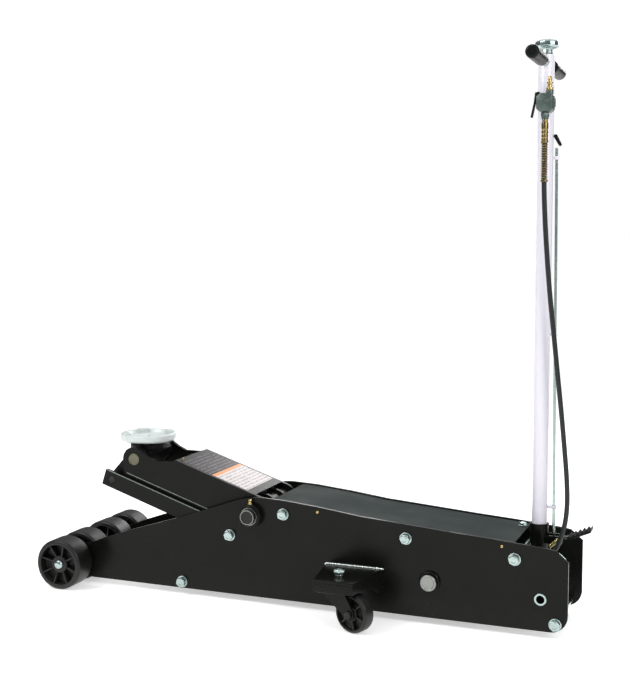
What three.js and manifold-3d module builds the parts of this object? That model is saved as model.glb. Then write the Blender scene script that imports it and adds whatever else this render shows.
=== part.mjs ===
// Long-chassis air and hydraulic service jack: wheeled frame, lift arm with levelling links, saddle,
// pinned cylinder unit, and a tilting handle with its air valve, hose, release knob and foot latch.
// Millimetres. +Z is up, the saddle end points to -X and the handle end to +X, Y = 0 is the mid-plane.
import * as THREE from "three";
import { mergeVertices } from "three/addons/utils/BufferGeometryUtils.js";
import Module from "manifold-3d";

const wasm = await Module();
wasm.setup();

// ---------- driving dimensions ----------
const gap = 0.3;            // air between touching pieces
const pinClearance = 0.4;   // radial clearance of a turning pin in its hole

// wheels and front axle; the axle stands above X = 0
const wheelR = 74.5;
const wheelWidth = 74;
const wheelSides = 32;      // tread facets; one of them lies flat on the floor
const axleR = 12;
const axleZ = wheelR * Math.cos(Math.PI / wheelSides);

// side plates
const frameHalfWidth = 125;
const plateT = 8;
const frameRear = 1472;
const frameBottom = 20;
const noseR = 50;
const cornerR = 45;
const plateInner = frameHalfWidth - plateT;
const outerWheelY = frameHalfWidth + 57;    // middle of an outer front wheel
const innerWheelY = plateInner - 47;        // middle of an inner front wheel

// lift arm
const pivotX = 586;
const pivotZ = 254;
const pivotR = 22.5;
const armLength = 414;      // pivot to head pin
const armRise = 18;         // degrees above level in the stored pose
const armHalfWidth = plateInner - 15;
const armPlateT = 10;
const armTop = 50;          // top plate above the pin line
const armEndR = 36;         // round end of the arm's side plates, at the head pin
const armSkirt = 60;        // lower edge of the side plates below the pin line
const headPinR = 18;
const leverLength = 138;    // pivot to lever pin
const leverLean = 10.5;     // degrees the lever leans forward in the stored pose
const leverPinR = 14;
const leverEarT = 12;

// levelling links, parallel to the arm
const linkDX = -68;
const linkDZ = -63;
const linkDepth = 48;
const linkT = 12;
const linkPinR = 12;
const linkEnd = 27;         // bar past its pin

// saddle and head
const saddleR = 83.5;
const saddleRise = 68.5;    // top of the lugs above the head pin
const saddleAhead = 7.26;   // middle of the saddle ahead of the head pin
const saddleRim = 26;
const saddleDish = 15;      // floor of the dish below the top of the lugs
const neckR = 54;
const headHalfWidth = armHalfWidth - 14;

// hydraulic unit
const ramZ = 119;
const rodR = 20;
const boreR = 33;
const barrelR = 42;
const barrelFront = 730;
const barrelRear = 1055;
const boreEnd = 1030;
const blockRear = 1165;
const mountPinX = 1107;
const mountPinR = 22.5;

// handle
const handlePivotX = 1402;
const handlePivotZ = 104;
const handlePivotR = 16;
const handleX = 1374;       // axis of the handle tube
const tubeR = 20.5;
const tubeWall = 3.5;
const tubeTop = 1505;
const socketR = tubeR + 4;
const socketTop = 275;
const socketBottom = 84;
const barZ = tubeTop - 21;
const barR = 11;
const gripR = 17.5;
const gripInner = 70;
const gripOuter = 205;
const rodCoreR = 5;
const camBaseR = 34;        // plunger travel per radian of handle tilt
const camStart = 8;
const camSweep = 65;        // degrees of handle tilt

// casters
const bracketTop = 139.5;
const bracketT = 8;
const stemX = 889;
const stemY = frameHalfWidth + 107;
const bracketOut = stemY + 55;
const trail = 52;
const trailAngle = 18.5;    // degrees the casters point outwards in the stored pose
const casterR = 52;
const casterWidth = 40;
const casterSides = 28;
const casterZ = casterR * Math.cos(Math.PI / casterSides);

// pedal, valve and hose
const pedalTip = 1512;
const pedalPivotZ = 236;
const lockRodX = handleX + tubeR + 17.5;    // at its foot
const lockRodLean = 9;      // how far its top leans towards the tube
const lockRodR = 4;
const pedalPivotX = lockRodX + 16;
const valveX = 1383;
const valveY = -tubeR - 24.5;
const valveZ = barZ - 103;
const lockLeverX = handleX + tubeR + 5.5;
const lockLeverZ = valveZ - 85;
const hoseX = 1380;
const hoseR = 6.5;
const hoseTop = valveZ - 101.3;
const guardLength = 103.7;

const originX = (pedalTip - axleZ) / 2;

// ---------- materials ----------
function material(color, roughness, metalness) {
  return new THREE.MeshStandardMaterial({ color, roughness, metalness });
}
const black = material(0x1b1c1a, 0.35, 0.1);
const coverGreen = material(0x2e3733, 0.45, 0.1);
const castBlack = material(0x141513, 0.6, 0.1);
const rubber = material(0x101010, 0.8, 0.0);
const zinc = material(0xb9c2c4, 0.3, 1.0);
const steel = material(0x8d8f8c, 0.35, 1.0);
const brass = material(0xb08a45, 0.35, 1.0);
const white = material(0xe9e9ee, 0.4, 0.0);
const castGrey = material(0x77827d, 0.5, 0.6);

// ---------- solids ----------
const degree = Math.PI / 180;

function solid(geometry) {
  const bare = geometry.index ? geometry.toNonIndexed() : geometry.clone();
  for (const name of Object.keys(bare.attributes)) {
    if (name !== "position") bare.deleteAttribute(name);
  }
  const merged = mergeVertices(bare, 1e-4);
  const mesh = new wasm.Mesh({
    numProp: 3,
    vertProperties: new Float32Array(merged.attributes.position.array),
    triVerts: new Uint32Array(merged.index.array),
  });
  return new wasm.Manifold(mesh);
}

function geometryOf(body) {
  const mesh = body.getMesh();
  const geometry = new THREE.BufferGeometry();
  geometry.setAttribute("position", new THREE.BufferAttribute(new Float32Array(mesh.vertProperties), 3));
  geometry.setIndex(new THREE.BufferAttribute(new Uint32Array(mesh.triVerts), 1));
  geometry.computeVertexNormals();
  return geometry;
}

const joined = (first, ...rest) => rest.reduce((sum, body) => sum.add(body), first);
const cut = (first, ...rest) => rest.reduce((sum, body) => sum.subtract(body), first);

const span = (a, b) => [Math.min(a, b), Math.max(a, b)];

function block(x0, x1, y0, y1, z0, z1) {
  const geometry = new THREE.BoxGeometry(x1 - x0, y1 - y0, z1 - z0);
  geometry.translate((x0 + x1) / 2, (y0 + y1) / 2, (z0 + z1) / 2);
  return solid(geometry);
}

function rodAlongY(r, y0, y1, x, z, sides = 16) {
  const geometry = new THREE.CylinderGeometry(r, r, y1 - y0, sides);
  geometry.rotateY(Math.PI / sides);
  geometry.translate(x, (y0 + y1) / 2, z);
  return solid(geometry);
}

function rodAlongX(r, x0, x1, y, z, sides = 16) {
  const geometry = new THREE.CylinderGeometry(r, r, x1 - x0, sides);
  geometry.rotateZ(Math.PI / 2);
  geometry.translate((x0 + x1) / 2, y, z);
  return solid(geometry);
}

function rodAlongZ(r, z0, z1, x, y, sides = 16) {
  const geometry = new THREE.CylinderGeometry(r, r, z1 - z0, sides);
  geometry.rotateX(Math.PI / 2);
  geometry.translate(x, y, (z0 + z1) / 2);
  return solid(geometry);
}

// a plate drawn in X and Z and given its thickness along Y
function plateXZ(shape, y0, y1, curveSegments = 8) {
  const geometry = new THREE.ExtrudeGeometry(shape, { depth: y1 - y0, bevelEnabled: false, curveSegments });
  geometry.rotateX(Math.PI / 2);
  geometry.translate(0, y1, 0);
  return solid(geometry);
}

// a plate drawn in X and Y and given its thickness along Z
function plateXY(shape, z0, z1) {
  const geometry = new THREE.ExtrudeGeometry(shape, { depth: z1 - z0, bevelEnabled: false, curveSegments: 8 });
  geometry.translate(0, 0, z0);
  return solid(geometry);
}

const outline = (points) => new THREE.Shape(points.map(([x, y]) => new THREE.Vector2(x, y)));

// a profile of [radius, height] pairs turned about the vertical
function turned(profile, sides = 24) {
  const geometry = new THREE.LatheGeometry(profile.map(([r, h]) => new THREE.Vector2(r, h)), sides);
  geometry.rotateX(Math.PI / 2);
  return solid(geometry);
}

// the straight-sided band between two circles: a bar with round ends
function capsuleOutline(x0, z0, r0, x1, z1, r1) {
  const along = Math.atan2(z1 - z0, x1 - x0);
  const lean = Math.acos((r0 - r1) / Math.hypot(x1 - x0, z1 - z0));
  const shape = new THREE.Shape();
  shape.absarc(x0, z0, r0, along + lean, along - lean + 2 * Math.PI, false);
  shape.absarc(x1, z1, r1, along - lean, along + lean, false);
  shape.closePath();
  return shape;
}

// ---------- the scene graph ----------
const jack = new THREE.Group();
const frame = new THREE.Group();
frame.position.x = -originX;
jack.add(frame);

function add(name, body, finish, parent = frame) {
  const geometry = body.isBufferGeometry ? body : geometryOf(body);
  const mesh = new THREE.Mesh(geometry, finish);
  mesh.name = name;
  parent.add(mesh);
  return mesh;
}

// ---------- places that several pieces share ----------
const rise = armRise * degree;
const armPoint = (s, t) => [
  pivotX - s * Math.cos(rise) + t * Math.sin(rise),
  pivotZ + s * Math.sin(rise) + t * Math.cos(rise),
];
const [headPinX, headPinZ] = armPoint(armLength, 0);
const saddleX = headPinX - saddleAhead;
const saddleTop = headPinZ + saddleRise;
const linkRearX = pivotX + linkDX;
const linkRearZ = pivotZ + linkDZ;
const linkFrontX = headPinX + linkDX;
const linkFrontZ = headPinZ + linkDZ;
const leverX = pivotX - leverLength * Math.sin(leverLean * degree);
const leverZ = pivotZ - leverLength * Math.cos(leverLean * degree);
const linkInner = armHalfWidth + 2;
const linkOuter = linkInner + linkT;

// top edge of the side plates, from the peak over the pivot to the rear
const peakX = pivotX + 31;
const topEdge = [
  [peakX, 306], [688, 303], [792, 293], [909, 278], [1023, 269], [1161, 258], [1294, 248.5], [1419, 237.5],
];
function topEdgeZ(x) {
  const next = Math.max(1, topEdge.findIndex(([px]) => px >= x));
  const [x0, z0] = topEdge[next - 1];
  const [x1, z1] = topEdge[next];
  return z0 + ((z1 - z0) * (x - x0)) / (x1 - x0);
}

// ---------- frame ----------
const tieR = 9;
const tieHeadR = 15;
const tieHeadT = 12;
const washerR = 17;
const washerT = 4;
const ties = [[683, 265], [364, 39.5], [1040, 230], [1334, 203], [1441, 42]];

function sidePlate(side) {
  const shape = new THREE.Shape();
  shape.moveTo(62, frameBottom);
  shape.lineTo(frameRear - cornerR, frameBottom);
  shape.absarc(frameRear - cornerR, frameBottom + cornerR, cornerR, -Math.PI / 2, 0, false);
  shape.lineTo(frameRear, 206);
  shape.lineTo(1439, 234);
  for (const [x, z] of [...topEdge].reverse()) shape.lineTo(x, z);
  shape.lineTo(pivotX + 4, 305);
  shape.lineTo(549, 296);
  shape.lineTo(467, 267);
  shape.lineTo(341, 223);
  shape.lineTo(190, 175);
  shape.lineTo(100, 143);
  shape.lineTo(noseR * Math.cos(100 * degree) + 60, axleZ + noseR - 2);
  shape.absarc(0, axleZ, noseR, 75 * degree, 285 * degree, false);
  const y0 = side < 0 ? -frameHalfWidth : plateInner;
  const y1 = y0 + plateT;
  const through = (r, x, z, sides) => rodAlongY(r, y0 - 1, y1 + 1, x, z, sides);
  let body = cut(
    plateXZ(shape, y0, y1),
    through(axleR + gap, 0, axleZ),
    through(pivotR + gap, pivotX, pivotZ, 28),
    through(mountPinR + gap, mountPinX, ramZ, 28),
    through(handlePivotR + gap, handlePivotX, handlePivotZ, 24),
    through(linkPinR + gap, linkRearX, linkRearZ),
    ...ties.map(([x, z]) => through(tieR + gap, x, z)),
  );
  // turned boss welded round the main pivot
  const bossY0 = side < 0 ? -frameHalfWidth - 18 : frameHalfWidth - 1;
  const boss = rodAlongY(34, bossY0, bossY0 + 19, pivotX, pivotZ, 28);
  const bossBore = rodAlongY(pivotR + gap, bossY0 - 1, bossY0 + 20, pivotX, pivotZ, 28);
  body = joined(body, cut(boss, bossBore));
  return body;
}
add("side_plate_left", sidePlate(-1), black);
add("side_plate_right", sidePlate(1), black);

// folded lid let in between the side plates, with a flange down each side and a bolt near its rear edge
const coverBoltR = 9;
const coverBoltY = 78;
function topCover() {
  const front = peakX + 30;
  const rear = handleX - socketR - 20;
  const skin = 3;
  const drop = 3;
  const flange = 19;
  const halfWidth = plateInner - gap;
  const stations = [front, ...topEdge.map(([x]) => x).filter((x) => x > front && x < rear), rear];
  const upper = stations.map((x) => [x, topEdgeZ(x) - drop]);
  const band = (depth) => outline([...upper, ...[...upper].reverse().map(([x, z]) => [x, z - depth])]);
  const flangeIn = halfWidth - skin;
  const boltX = rear - 15;
  const seat = topEdgeZ(boltX) - drop;
  return joined(
    plateXZ(band(skin), -halfWidth, halfWidth),
    plateXZ(band(flange), -halfWidth, -flangeIn),
    plateXZ(band(flange), flangeIn, halfWidth),
    rodAlongZ(coverBoltR, seat - 1, seat + 8, boltX, coverBoltY, 6),
  );
}
add("top_cover", topCover(), coverGreen);

// round tie bars across the frame with a washer and hex bolt head at each end
ties.forEach(([x, z], i) => {
  const outer = frameHalfWidth + gap;
  const parts = [rodAlongY(tieR, -outer - 1, outer + 1, x, z)];
  for (const side of [-1, 1]) {
    const washerEnd = side * (outer + washerT);
    const headEnd = side * (outer + washerT + tieHeadT);
    parts.push(rodAlongY(washerR, ...span(side * outer, washerEnd), x, z));
    parts.push(rodAlongY(tieHeadR, ...span(washerEnd - side, headEnd), x, z, 6));
  }
  add(`tie_bar_${i + 1}`, joined(...parts), zinc);
});

// front axle with its end nuts
const axleEnd = outerWheelY + wheelWidth / 2 - 8;
add(
  "front_axle",
  joined(
    rodAlongY(axleR, -axleEnd - 10, axleEnd + 10, 0, axleZ),
    rodAlongY(18, axleEnd + gap, axleEnd + 10, 0, axleZ, 6),
    rodAlongY(18, -axleEnd - 10, -axleEnd - gap, 0, axleZ, 6),
  ),
  zinc,
);

// main pivot shaft
add("pivot_shaft", rodAlongY(pivotR, -frameHalfWidth - 35, frameHalfWidth + 35, pivotX, pivotZ, 28), steel);

// link pivot bolts: a hex head outside the plate and a plain shank into the link bar
for (const [side, word] of [[-1, "left"], [1, "right"]]) {
  const outer = frameHalfWidth + gap;
  const stretch = (r, from, to, sides) => rodAlongY(r, ...span(side * from, side * to), linkRearX, linkRearZ, sides);
  const shank = stretch(linkPinR, linkInner + 0.5, outer + 1);
  const washer = stretch(washerR, outer, outer + washerT);
  const head = stretch(tieHeadR, outer + washerT - 1, outer + washerT + tieHeadT, 6);
  add(`link_pivot_bolt_${word}`, joined(shank, washer, head), zinc);
}

// zinc-plated tube the handle socket turns on
add(
  "handle_pivot_tube",
  cut(
    rodAlongY(handlePivotR, -frameHalfWidth - 3, frameHalfWidth + 3, handlePivotX, handlePivotZ, 24),
    rodAlongY(handlePivotR - 5, -frameHalfWidth - 4, frameHalfWidth + 4, handlePivotX, handlePivotZ, 24),
  ),
  zinc,
);

// ---------- front wheels ----------
function wheelProfile(r, width, hubR, boreRadius, recess) {
  const half = width / 2;
  const rim = r - 14;
  const dish = half - 12;
  return [
    [boreRadius, -half + recess], [hubR, -half + recess], [hubR, -dish], [rim, -dish], [rim, -half], [r - 4, -half],
    [r, -half + 4], [r, half - 4], [r - 4, half], [rim, half], [rim, dish], [hubR, dish],
    [hubR, half - recess], [boreRadius, half - recess], [boreRadius, -half + recess],
  ];
}

function rollingWheel(profile, sides) {
  const geometry = new THREE.LatheGeometry(profile.map(([r, h]) => new THREE.Vector2(r, h)), sides);
  geometry.rotateY(Math.PI / sides);
  return geometryOf(solid(geometry));
}

const wheelPlaces = [-outerWheelY, -innerWheelY, innerWheelY, outerWheelY];
wheelPlaces.forEach((y, i) => {
  const recess = 8;
  const wheel = add(
    `front_wheel_${i + 1}`,
    rollingWheel(wheelProfile(wheelR, wheelWidth, 26, axleR + pinClearance, recess), wheelSides),
    rubber,
  );
  wheel.position.set(0, y, axleZ);
});

// ---------- lift arm ----------
const armTopEnd = armLength - 130;      // front edge of the top plate
function armSide(y0, y1) {
  const shape = new THREE.Shape();
  const to = (s, t) => shape.lineTo(...armPoint(s, t));
  const turn = Math.PI - rise;
  shape.moveTo(...armPoint(0, -armTop));
  shape.absarc(pivotX, pivotZ, armTop, turn + Math.PI / 2, turn - Math.PI / 2, false);
  to(armTopEnd, armTop - 4);
  to(armLength - 109, 35.5);
  to(armLength - 68, 22.2);
  to(armLength - 40, 25.5);
  to(armLength - 15, 32.6);
  shape.absarc(headPinX, headPinZ, armEndR, turn - 65 * degree, Math.PI, false);
  to(armLength + 15, -armSkirt);
  to(95, -armSkirt);
  shape.closePath();
  return plateXZ(shape, y0, y1, 12);
}

function liftArm() {
  const inner = armHalfWidth - armPlateT;
  const topPlate = plateXZ(
    outline([
      armPoint(18, armTop), armPoint(18, armTop - 9), armPoint(armTopEnd, armTop - 9), armPoint(armTopEnd, armTop),
    ]),
    -armHalfWidth,
    armHalfWidth,
  );
  const hub = rodAlongY(36, -armHalfWidth, armHalfWidth, pivotX, pivotZ, 24);
  const ears = [-1, 1].map((side) => {
    const y = side * 36;
    const shape = capsuleOutline(pivotX, pivotZ, 44, leverX, leverZ, 24);
    return plateXZ(shape, y - leverEarT / 2, y + leverEarT / 2, 10);
  });
  return cut(
    joined(armSide(-armHalfWidth, -inner), armSide(inner, armHalfWidth), topPlate, hub, ...ears),
    rodAlongY(pivotR + pinClearance, -armHalfWidth - 1, armHalfWidth + 1, pivotX, pivotZ, 28),
    rodAlongY(headPinR + gap, -armHalfWidth - 1, armHalfWidth + 1, headPinX, headPinZ),
    rodAlongY(leverPinR + gap, -60, 60, leverX, leverZ),
  );
}
add("lift_arm", liftArm(), black);
add("head_pin", rodAlongY(headPinR, -armHalfWidth - 1, armHalfWidth + 1, headPinX, headPinZ), steel);

const leverPinHalf = 72;
add("lever_pin", rodAlongY(leverPinR, -leverPinHalf, leverPinHalf, leverX, leverZ), steel);

// ---------- head, saddle and links ----------
function liftHead() {
  const neckBottom = headPinZ + 12;
  const saddleSeat = saddleTop - saddleRim - gap;
  const y = headHalfWidth;
  const web = capsuleOutline(headPinX, headPinZ, 30, linkFrontX, linkFrontZ, 22);
  const shoulder = outline([
    [saddleX - neckR + 6, neckBottom + 6], [saddleX + neckR - 6, neckBottom + 6],
    [headPinX + 26, headPinZ - 14], [headPinX - 30, headPinZ],
  ]);
  return cut(
    joined(
      rodAlongZ(neckR, neckBottom, saddleSeat, saddleX, 0, 28),
      plateXZ(shoulder, -60, 60),
      plateXZ(web, -y, -y + 26, 10),
      plateXZ(web, y - 26, y, 10),
      plateXZ(capsuleOutline(headPinX, headPinZ, 26, linkFrontX, linkFrontZ, 18), -y, y, 10),
    ),
    rodAlongY(headPinR + pinClearance, -y - 1, y + 1, headPinX, headPinZ),
    rodAlongY(linkPinR + pinClearance, -y - 1, y + 1, linkFrontX, linkFrontZ),
    rodAlongZ(16 + pinClearance, neckBottom + 12, saddleSeat + 1, saddleX, 0),
  );
}
add("lift_head", liftHead(), castBlack);
add("link_front_pin", rodAlongY(linkPinR, -plateInner + gap, plateInner - gap, linkFrontX, linkFrontZ), steel);

// dished saddle with raised lugs and a stub that turns in the head
function saddle() {
  const rimTop = saddleTop - 3;
  const floor = saddleTop - saddleDish;
  const seat = saddleTop - saddleRim;
  const dish = turned([
    [0, headPinZ + 25], [16, headPinZ + 25], [16, seat], [saddleR - 5, seat], [saddleR, seat + 5],
    [saddleR, rimTop - 2], [saddleR - 3, rimTop], [saddleR - 14, rimTop], [saddleR - 22, floor], [0, floor],
  ], 36);
  const lugs = [];
  for (let i = 0; i < 4; i += 1) {
    const lug = new THREE.BoxGeometry(20, 34, saddleDish + 2);
    lug.translate(saddleR - 17, 0, saddleTop - saddleDish / 2 - 1);
    lug.rotateZ((i + 0.5) * 90 * degree);
    lugs.push(solid(lug));
  }
  return joined(dish, ...lugs);
}
const saddleMesh = add("saddle", saddle(), white);
saddleMesh.position.set(saddleX, 0, 0);

for (const [side, word] of [[-1, "left"], [1, "right"]]) {
  const y0 = side < 0 ? -linkOuter : linkInner;
  const bar = [[-linkEnd, -linkDepth / 2], [armLength + linkEnd, -linkDepth / 2],
    [armLength + linkEnd, linkDepth / 2], [-linkEnd, linkDepth / 2]];
  const points = bar.map(([s, t]) => {
    const [x, z] = armPoint(s, t);
    return [x + linkDX, z + linkDZ];
  });
  add(
    `link_bar_${word}`,
    cut(
      plateXZ(outline(points), y0, y0 + linkT),
      rodAlongY(linkPinR + pinClearance, y0 - 1, y0 + linkT + 1, linkRearX, linkRearZ),
      rodAlongY(linkPinR + gap, y0 - 1, y0 + linkT + 1, linkFrontX, linkFrontZ),
    ),
    black,
  );
}

// ---------- hydraulic unit ----------
const slotHalf = leverPinR + 2.4;   // the pin wanders fore and aft as the lever swings
const crossheadHalf = 28;
const crossheadFront = leverX - 36;
const crossheadRear = leverX + 34;
const pistonFront = barrelFront + 66;
add(
  "ram",
  joined(
    cut(
      block(crossheadFront, crossheadRear, -crossheadHalf, crossheadHalf, ramZ - 46, ramZ + 46),
      block(leverX - slotHalf, leverX + slotHalf, -crossheadHalf - 1, crossheadHalf + 1, ramZ - 30, ramZ + 34),
    ),
    rodAlongX(rodR, crossheadRear - 1, pistonFront + 1, 0, ramZ),
    rodAlongX(boreR - gap, pistonFront, pistonFront + 26, 0, ramZ, 24),
  ),
  steel,
);
add(
  "cylinder_barrel",
  cut(
    rodAlongX(barrelR, barrelFront, barrelRear, 0, ramZ, 28),
    rodAlongX(boreR, barrelFront - 1, boreEnd, 0, ramZ, 24),
  ),
  castBlack,
);
const springY = 62;
const glandFront = barrelFront - 20;
add(
  "cylinder_gland",
  cut(
    joined(
      rodAlongX(barrelR + 4, glandFront, barrelFront - gap, 0, ramZ, 28),
      rodAlongX(boreR - gap, glandFront + 1, barrelFront + 14, 0, ramZ, 24),
      block(glandFront + 4, barrelFront - gap, -springY - 12, springY + 12, ramZ - 12, ramZ + 12),
    ),
    rodAlongX(rodR + gap, glandFront - 1, barrelFront + 15, 0, ramZ),
  ),
  steel,
);
add(
  "hydraulic_block",
  cut(
    block(barrelRear + gap, blockRear, -60, 60, 50, 178),
    rodAlongY(mountPinR + gap, -61, 61, mountPinX, ramZ, 28),
  ),
  castBlack,
);
add(
  "cylinder_pin",
  rodAlongY(mountPinR, -frameHalfWidth - 20, frameHalfWidth + 20, mountPinX, ramZ, 28),
  steel,
);
const plungerZ = handlePivotZ - camBaseR;
const plungerR = 8;
const pumpRear = 1290;
add(
  "pump_body",
  cut(
    rodAlongX(20, blockRear + gap, pumpRear, 0, plungerZ),
    rodAlongX(plungerR + pinClearance, blockRear + 30, pumpRear + 1, 0, plungerZ),
  ),
  steel,
);
add(
  "pump_plunger",
  rodAlongX(plungerR, pumpRear - 42, handlePivotX - camStart - gap, 0, plungerZ),
  steel,
);
const motorY = -66;
const motorZ = 118;
const motorRear = 1282;
const inletEnd = motorRear + 16;
add(
  "air_motor",
  joined(
    rodAlongX(28, blockRear + gap, motorRear, motorY, motorZ, 24),
    rodAlongX(9, motorRear - 1, inletEnd, motorY, motorZ, 6),
  ),
  castGrey,
);
const springR = 9;
for (const [side, word] of [[-1, "left"], [1, "right"]]) {
  const spring = rodAlongX(springR, leverX + leverPinR + 1, glandFront + 4 - gap, side * springY, leverZ, 10);
  add(`return_spring_${word}`, spring, steel);
}

// ---------- casters ----------
const forkTop = casterR * 2 + 8;
const apronBottom = casterR * 2 + 2;
const gussetT = 7;
// how far from its stem a caster's wheel reaches; the bracket's gussets rise out of its way
const casterSweep = Math.hypot(trail + casterR, casterWidth / 2);
const gussetFoot = 76;
function casterBracket(side) {
  const near = frameHalfWidth + gap;
  const y = (v) => side * v;
  const foot = [stemX - 78, stemX + 90];      // along the side plate
  const nose = [stemX - 53, stemX + 56];      // at the outer end
  const points = [[foot[0], y(near)], [foot[1], y(near)], [nose[1], y(bracketOut)], [nose[0], y(bracketOut)]];
  const top = plateXY(outline(side < 0 ? points.reverse() : points), bracketTop - bracketT, bracketTop);
  const apron = block(
    nose[0] + 1, nose[1] - 1, ...span(y(bracketOut - gussetT), y(bracketOut)), apronBottom, bracketTop - 1,
  );
  const gusset = (xNear, xFar, inward) => {
    const clearOfWheel = stemY - casterSweep + 19;
    const wall = new THREE.Shape();
    wall.moveTo(near, gussetFoot);
    wall.lineTo(clearOfWheel, gussetFoot);
    wall.lineTo(clearOfWheel + 35, apronBottom - 7.5);
    wall.lineTo(clearOfWheel + 61, apronBottom);
    wall.lineTo(bracketOut, apronBottom);
    wall.lineTo(bracketOut, bracketTop - 1);
    wall.lineTo(near, bracketTop - 1);
    wall.closePath();
    const geometry = new THREE.ExtrudeGeometry(wall, { depth: gussetT, bevelEnabled: false });
    // stand the wall up: its drawn X runs along Y, its drawn Y along Z
    geometry.rotateX(Math.PI / 2);
    geometry.rotateZ(Math.PI / 2);
    const positions = geometry.attributes.position;
    for (let i = 0; i < positions.count; i += 1) {
      const t = (positions.getY(i) - near) / (bracketOut - near);
      positions.setX(i, positions.getX(i) + xNear + (xFar - xNear) * t + (inward > 0 ? 0 : -gussetT));
    }
    return solid(geometry);
  };
  let walls = [gusset(foot[0], nose[0], 1), gusset(foot[1], nose[1], -1)];
  if (side < 0) walls = walls.map((wall) => wall.mirror([0, 1, 0]));
  const nut = joined(
    rodAlongZ(12, bracketTop - 1, bracketTop + 7, stemX, y(stemY)),
    rodAlongZ(16.5, bracketTop + 6, bracketTop + 20, stemX, y(stemY), 6),
    rodAlongZ(8, bracketTop + 19, bracketTop + 22, stemX, y(stemY), 12),
  );
  return joined(top, apron, ...walls, nut);
}

const raceTop = bracketTop - bracketT - gap;
const forkT = 5;
const casterBoltR = 8;
const casterHeadR = 12;
const casterHeadT = 6;
const forkInner = casterWidth / 2 + 2;
function casterYoke() {
  const race = rodAlongZ(44, forkTop + 6, raceTop, 0, 0, 28);
  const crown = rodAlongZ(38, forkTop, forkTop + 7, 0, 0, 24);
  const cheek = (y0, y1) => {
    const shape = new THREE.Shape();
    shape.moveTo(-28, forkTop + 3);
    shape.lineTo(-28, forkTop - 24);
    shape.lineTo(trail - 17, casterZ - 5);
    shape.absarc(trail, casterZ, 17, 195 * degree, 375 * degree, false);
    shape.lineTo(32, forkTop + 3);
    shape.closePath();
    return plateXZ(shape, y0, y1);
  };
  return cut(
    joined(race, crown, cheek(forkInner, forkInner + forkT), cheek(-forkInner - forkT, -forkInner)),
    rodAlongY(casterBoltR + gap, -casterWidth, casterWidth, trail, casterZ),
  );
}

const casterProfile = wheelProfile(casterR, casterWidth, 20, casterBoltR + pinClearance, 1);
for (const [side, word] of [[-1, "left"], [1, "right"]]) {
  add(`caster_bracket_${word}`, casterBracket(side), black);
  const swivel = new THREE.Group();
  swivel.position.set(stemX, side * stemY, 0);
  swivel.rotation.z = side * trailAngle * degree;
  frame.add(swivel);
  add(`caster_yoke_${word}`, casterYoke(), black, swivel);
  const wheel = add(`caster_wheel_${word}`, rollingWheel(casterProfile, casterSides), rubber, swivel);
  wheel.position.set(trail, 0, casterZ);
  const headIn = forkInner + forkT + gap;
  const headOut = headIn + casterHeadT;
  const bolt = joined(
    rodAlongY(casterBoltR, -headIn - 1, headIn + 1, trail, casterZ),
    rodAlongY(casterHeadR, -headOut, -headIn, trail, casterZ, 6),
    rodAlongY(casterHeadR, headIn, headOut, trail, casterZ, 6),
  );
  add(`caster_axle_${word}`, bolt, zinc, swivel);
}

// ---------- handle ----------
// cam whose flat follower moves camBaseR for every radian of tilt
function pumpCam() {
  const steps = 8;
  const shape = new THREE.Shape();
  shape.moveTo(handlePivotX - camStart, handlePivotZ);
  for (let i = 0; i <= steps; i += 1) {
    const a = (camSweep * degree * i) / steps;
    const reach = camStart + camBaseR * a;
    const x = -reach * Math.cos(a) + camBaseR * Math.sin(a);
    const z = -reach * Math.sin(a) - camBaseR * Math.cos(a);
    shape.lineTo(handlePivotX + x, handlePivotZ + z);
  }
  shape.lineTo(handlePivotX + 24, handlePivotZ - 30);
  shape.lineTo(handlePivotX + 24, handlePivotZ);
  shape.closePath();
  return plateXZ(shape, -12, 12);
}

function handleSocket() {
  const lug = capsuleOutline(handlePivotX, handlePivotZ, handlePivotR + 11, handleX, handlePivotZ + 4, 24);
  const pedalEar = (y0) => block(handleX + 14, pedalPivotX + 9, y0, y0 + 6, pedalPivotZ - 12, pedalPivotZ + 10);
  const sleeve = rodAlongZ(socketR, socketBottom, socketTop, handleX, 0, 28);
  return cut(
    joined(sleeve, plateXZ(lug, -24, 24, 10), pumpCam(), pedalEar(-18.5), pedalEar(12.5)),
    rodAlongY(handlePivotR + pinClearance, -30, 30, handlePivotX, handlePivotZ, 24),
    rodAlongZ(tubeR + gap, handlePivotZ + 38, socketTop + 1, handleX, 0, 24),
    rodAlongY(5.4, -30, 30, pedalPivotX, pedalPivotZ, 12),
  );
}
add("handle_socket", handleSocket(), black);

const tubeBottom = handlePivotZ + 40;
const lockRodTop = lockLeverZ - 30;
const pedalTopZ = pedalPivotZ + 7;
const lockRodAt = (z) => lockRodX - (lockRodLean * (z - pedalTopZ)) / (lockRodTop - pedalTopZ);

// a round bar on the rod's leaning line
function alongLockRod(r, z0, z1) {
  const lean = Math.atan((lockRodAt(z0) - lockRodAt(z1)) / (z1 - z0));
  const geometry = new THREE.CylinderGeometry(r, r, (z1 - z0) / Math.cos(lean), 12);
  geometry.rotateX(Math.PI / 2);
  geometry.rotateY(-lean);
  geometry.translate(lockRodAt((z0 + z1) / 2), 0, (z0 + z1) / 2);
  return solid(geometry);
}

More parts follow.
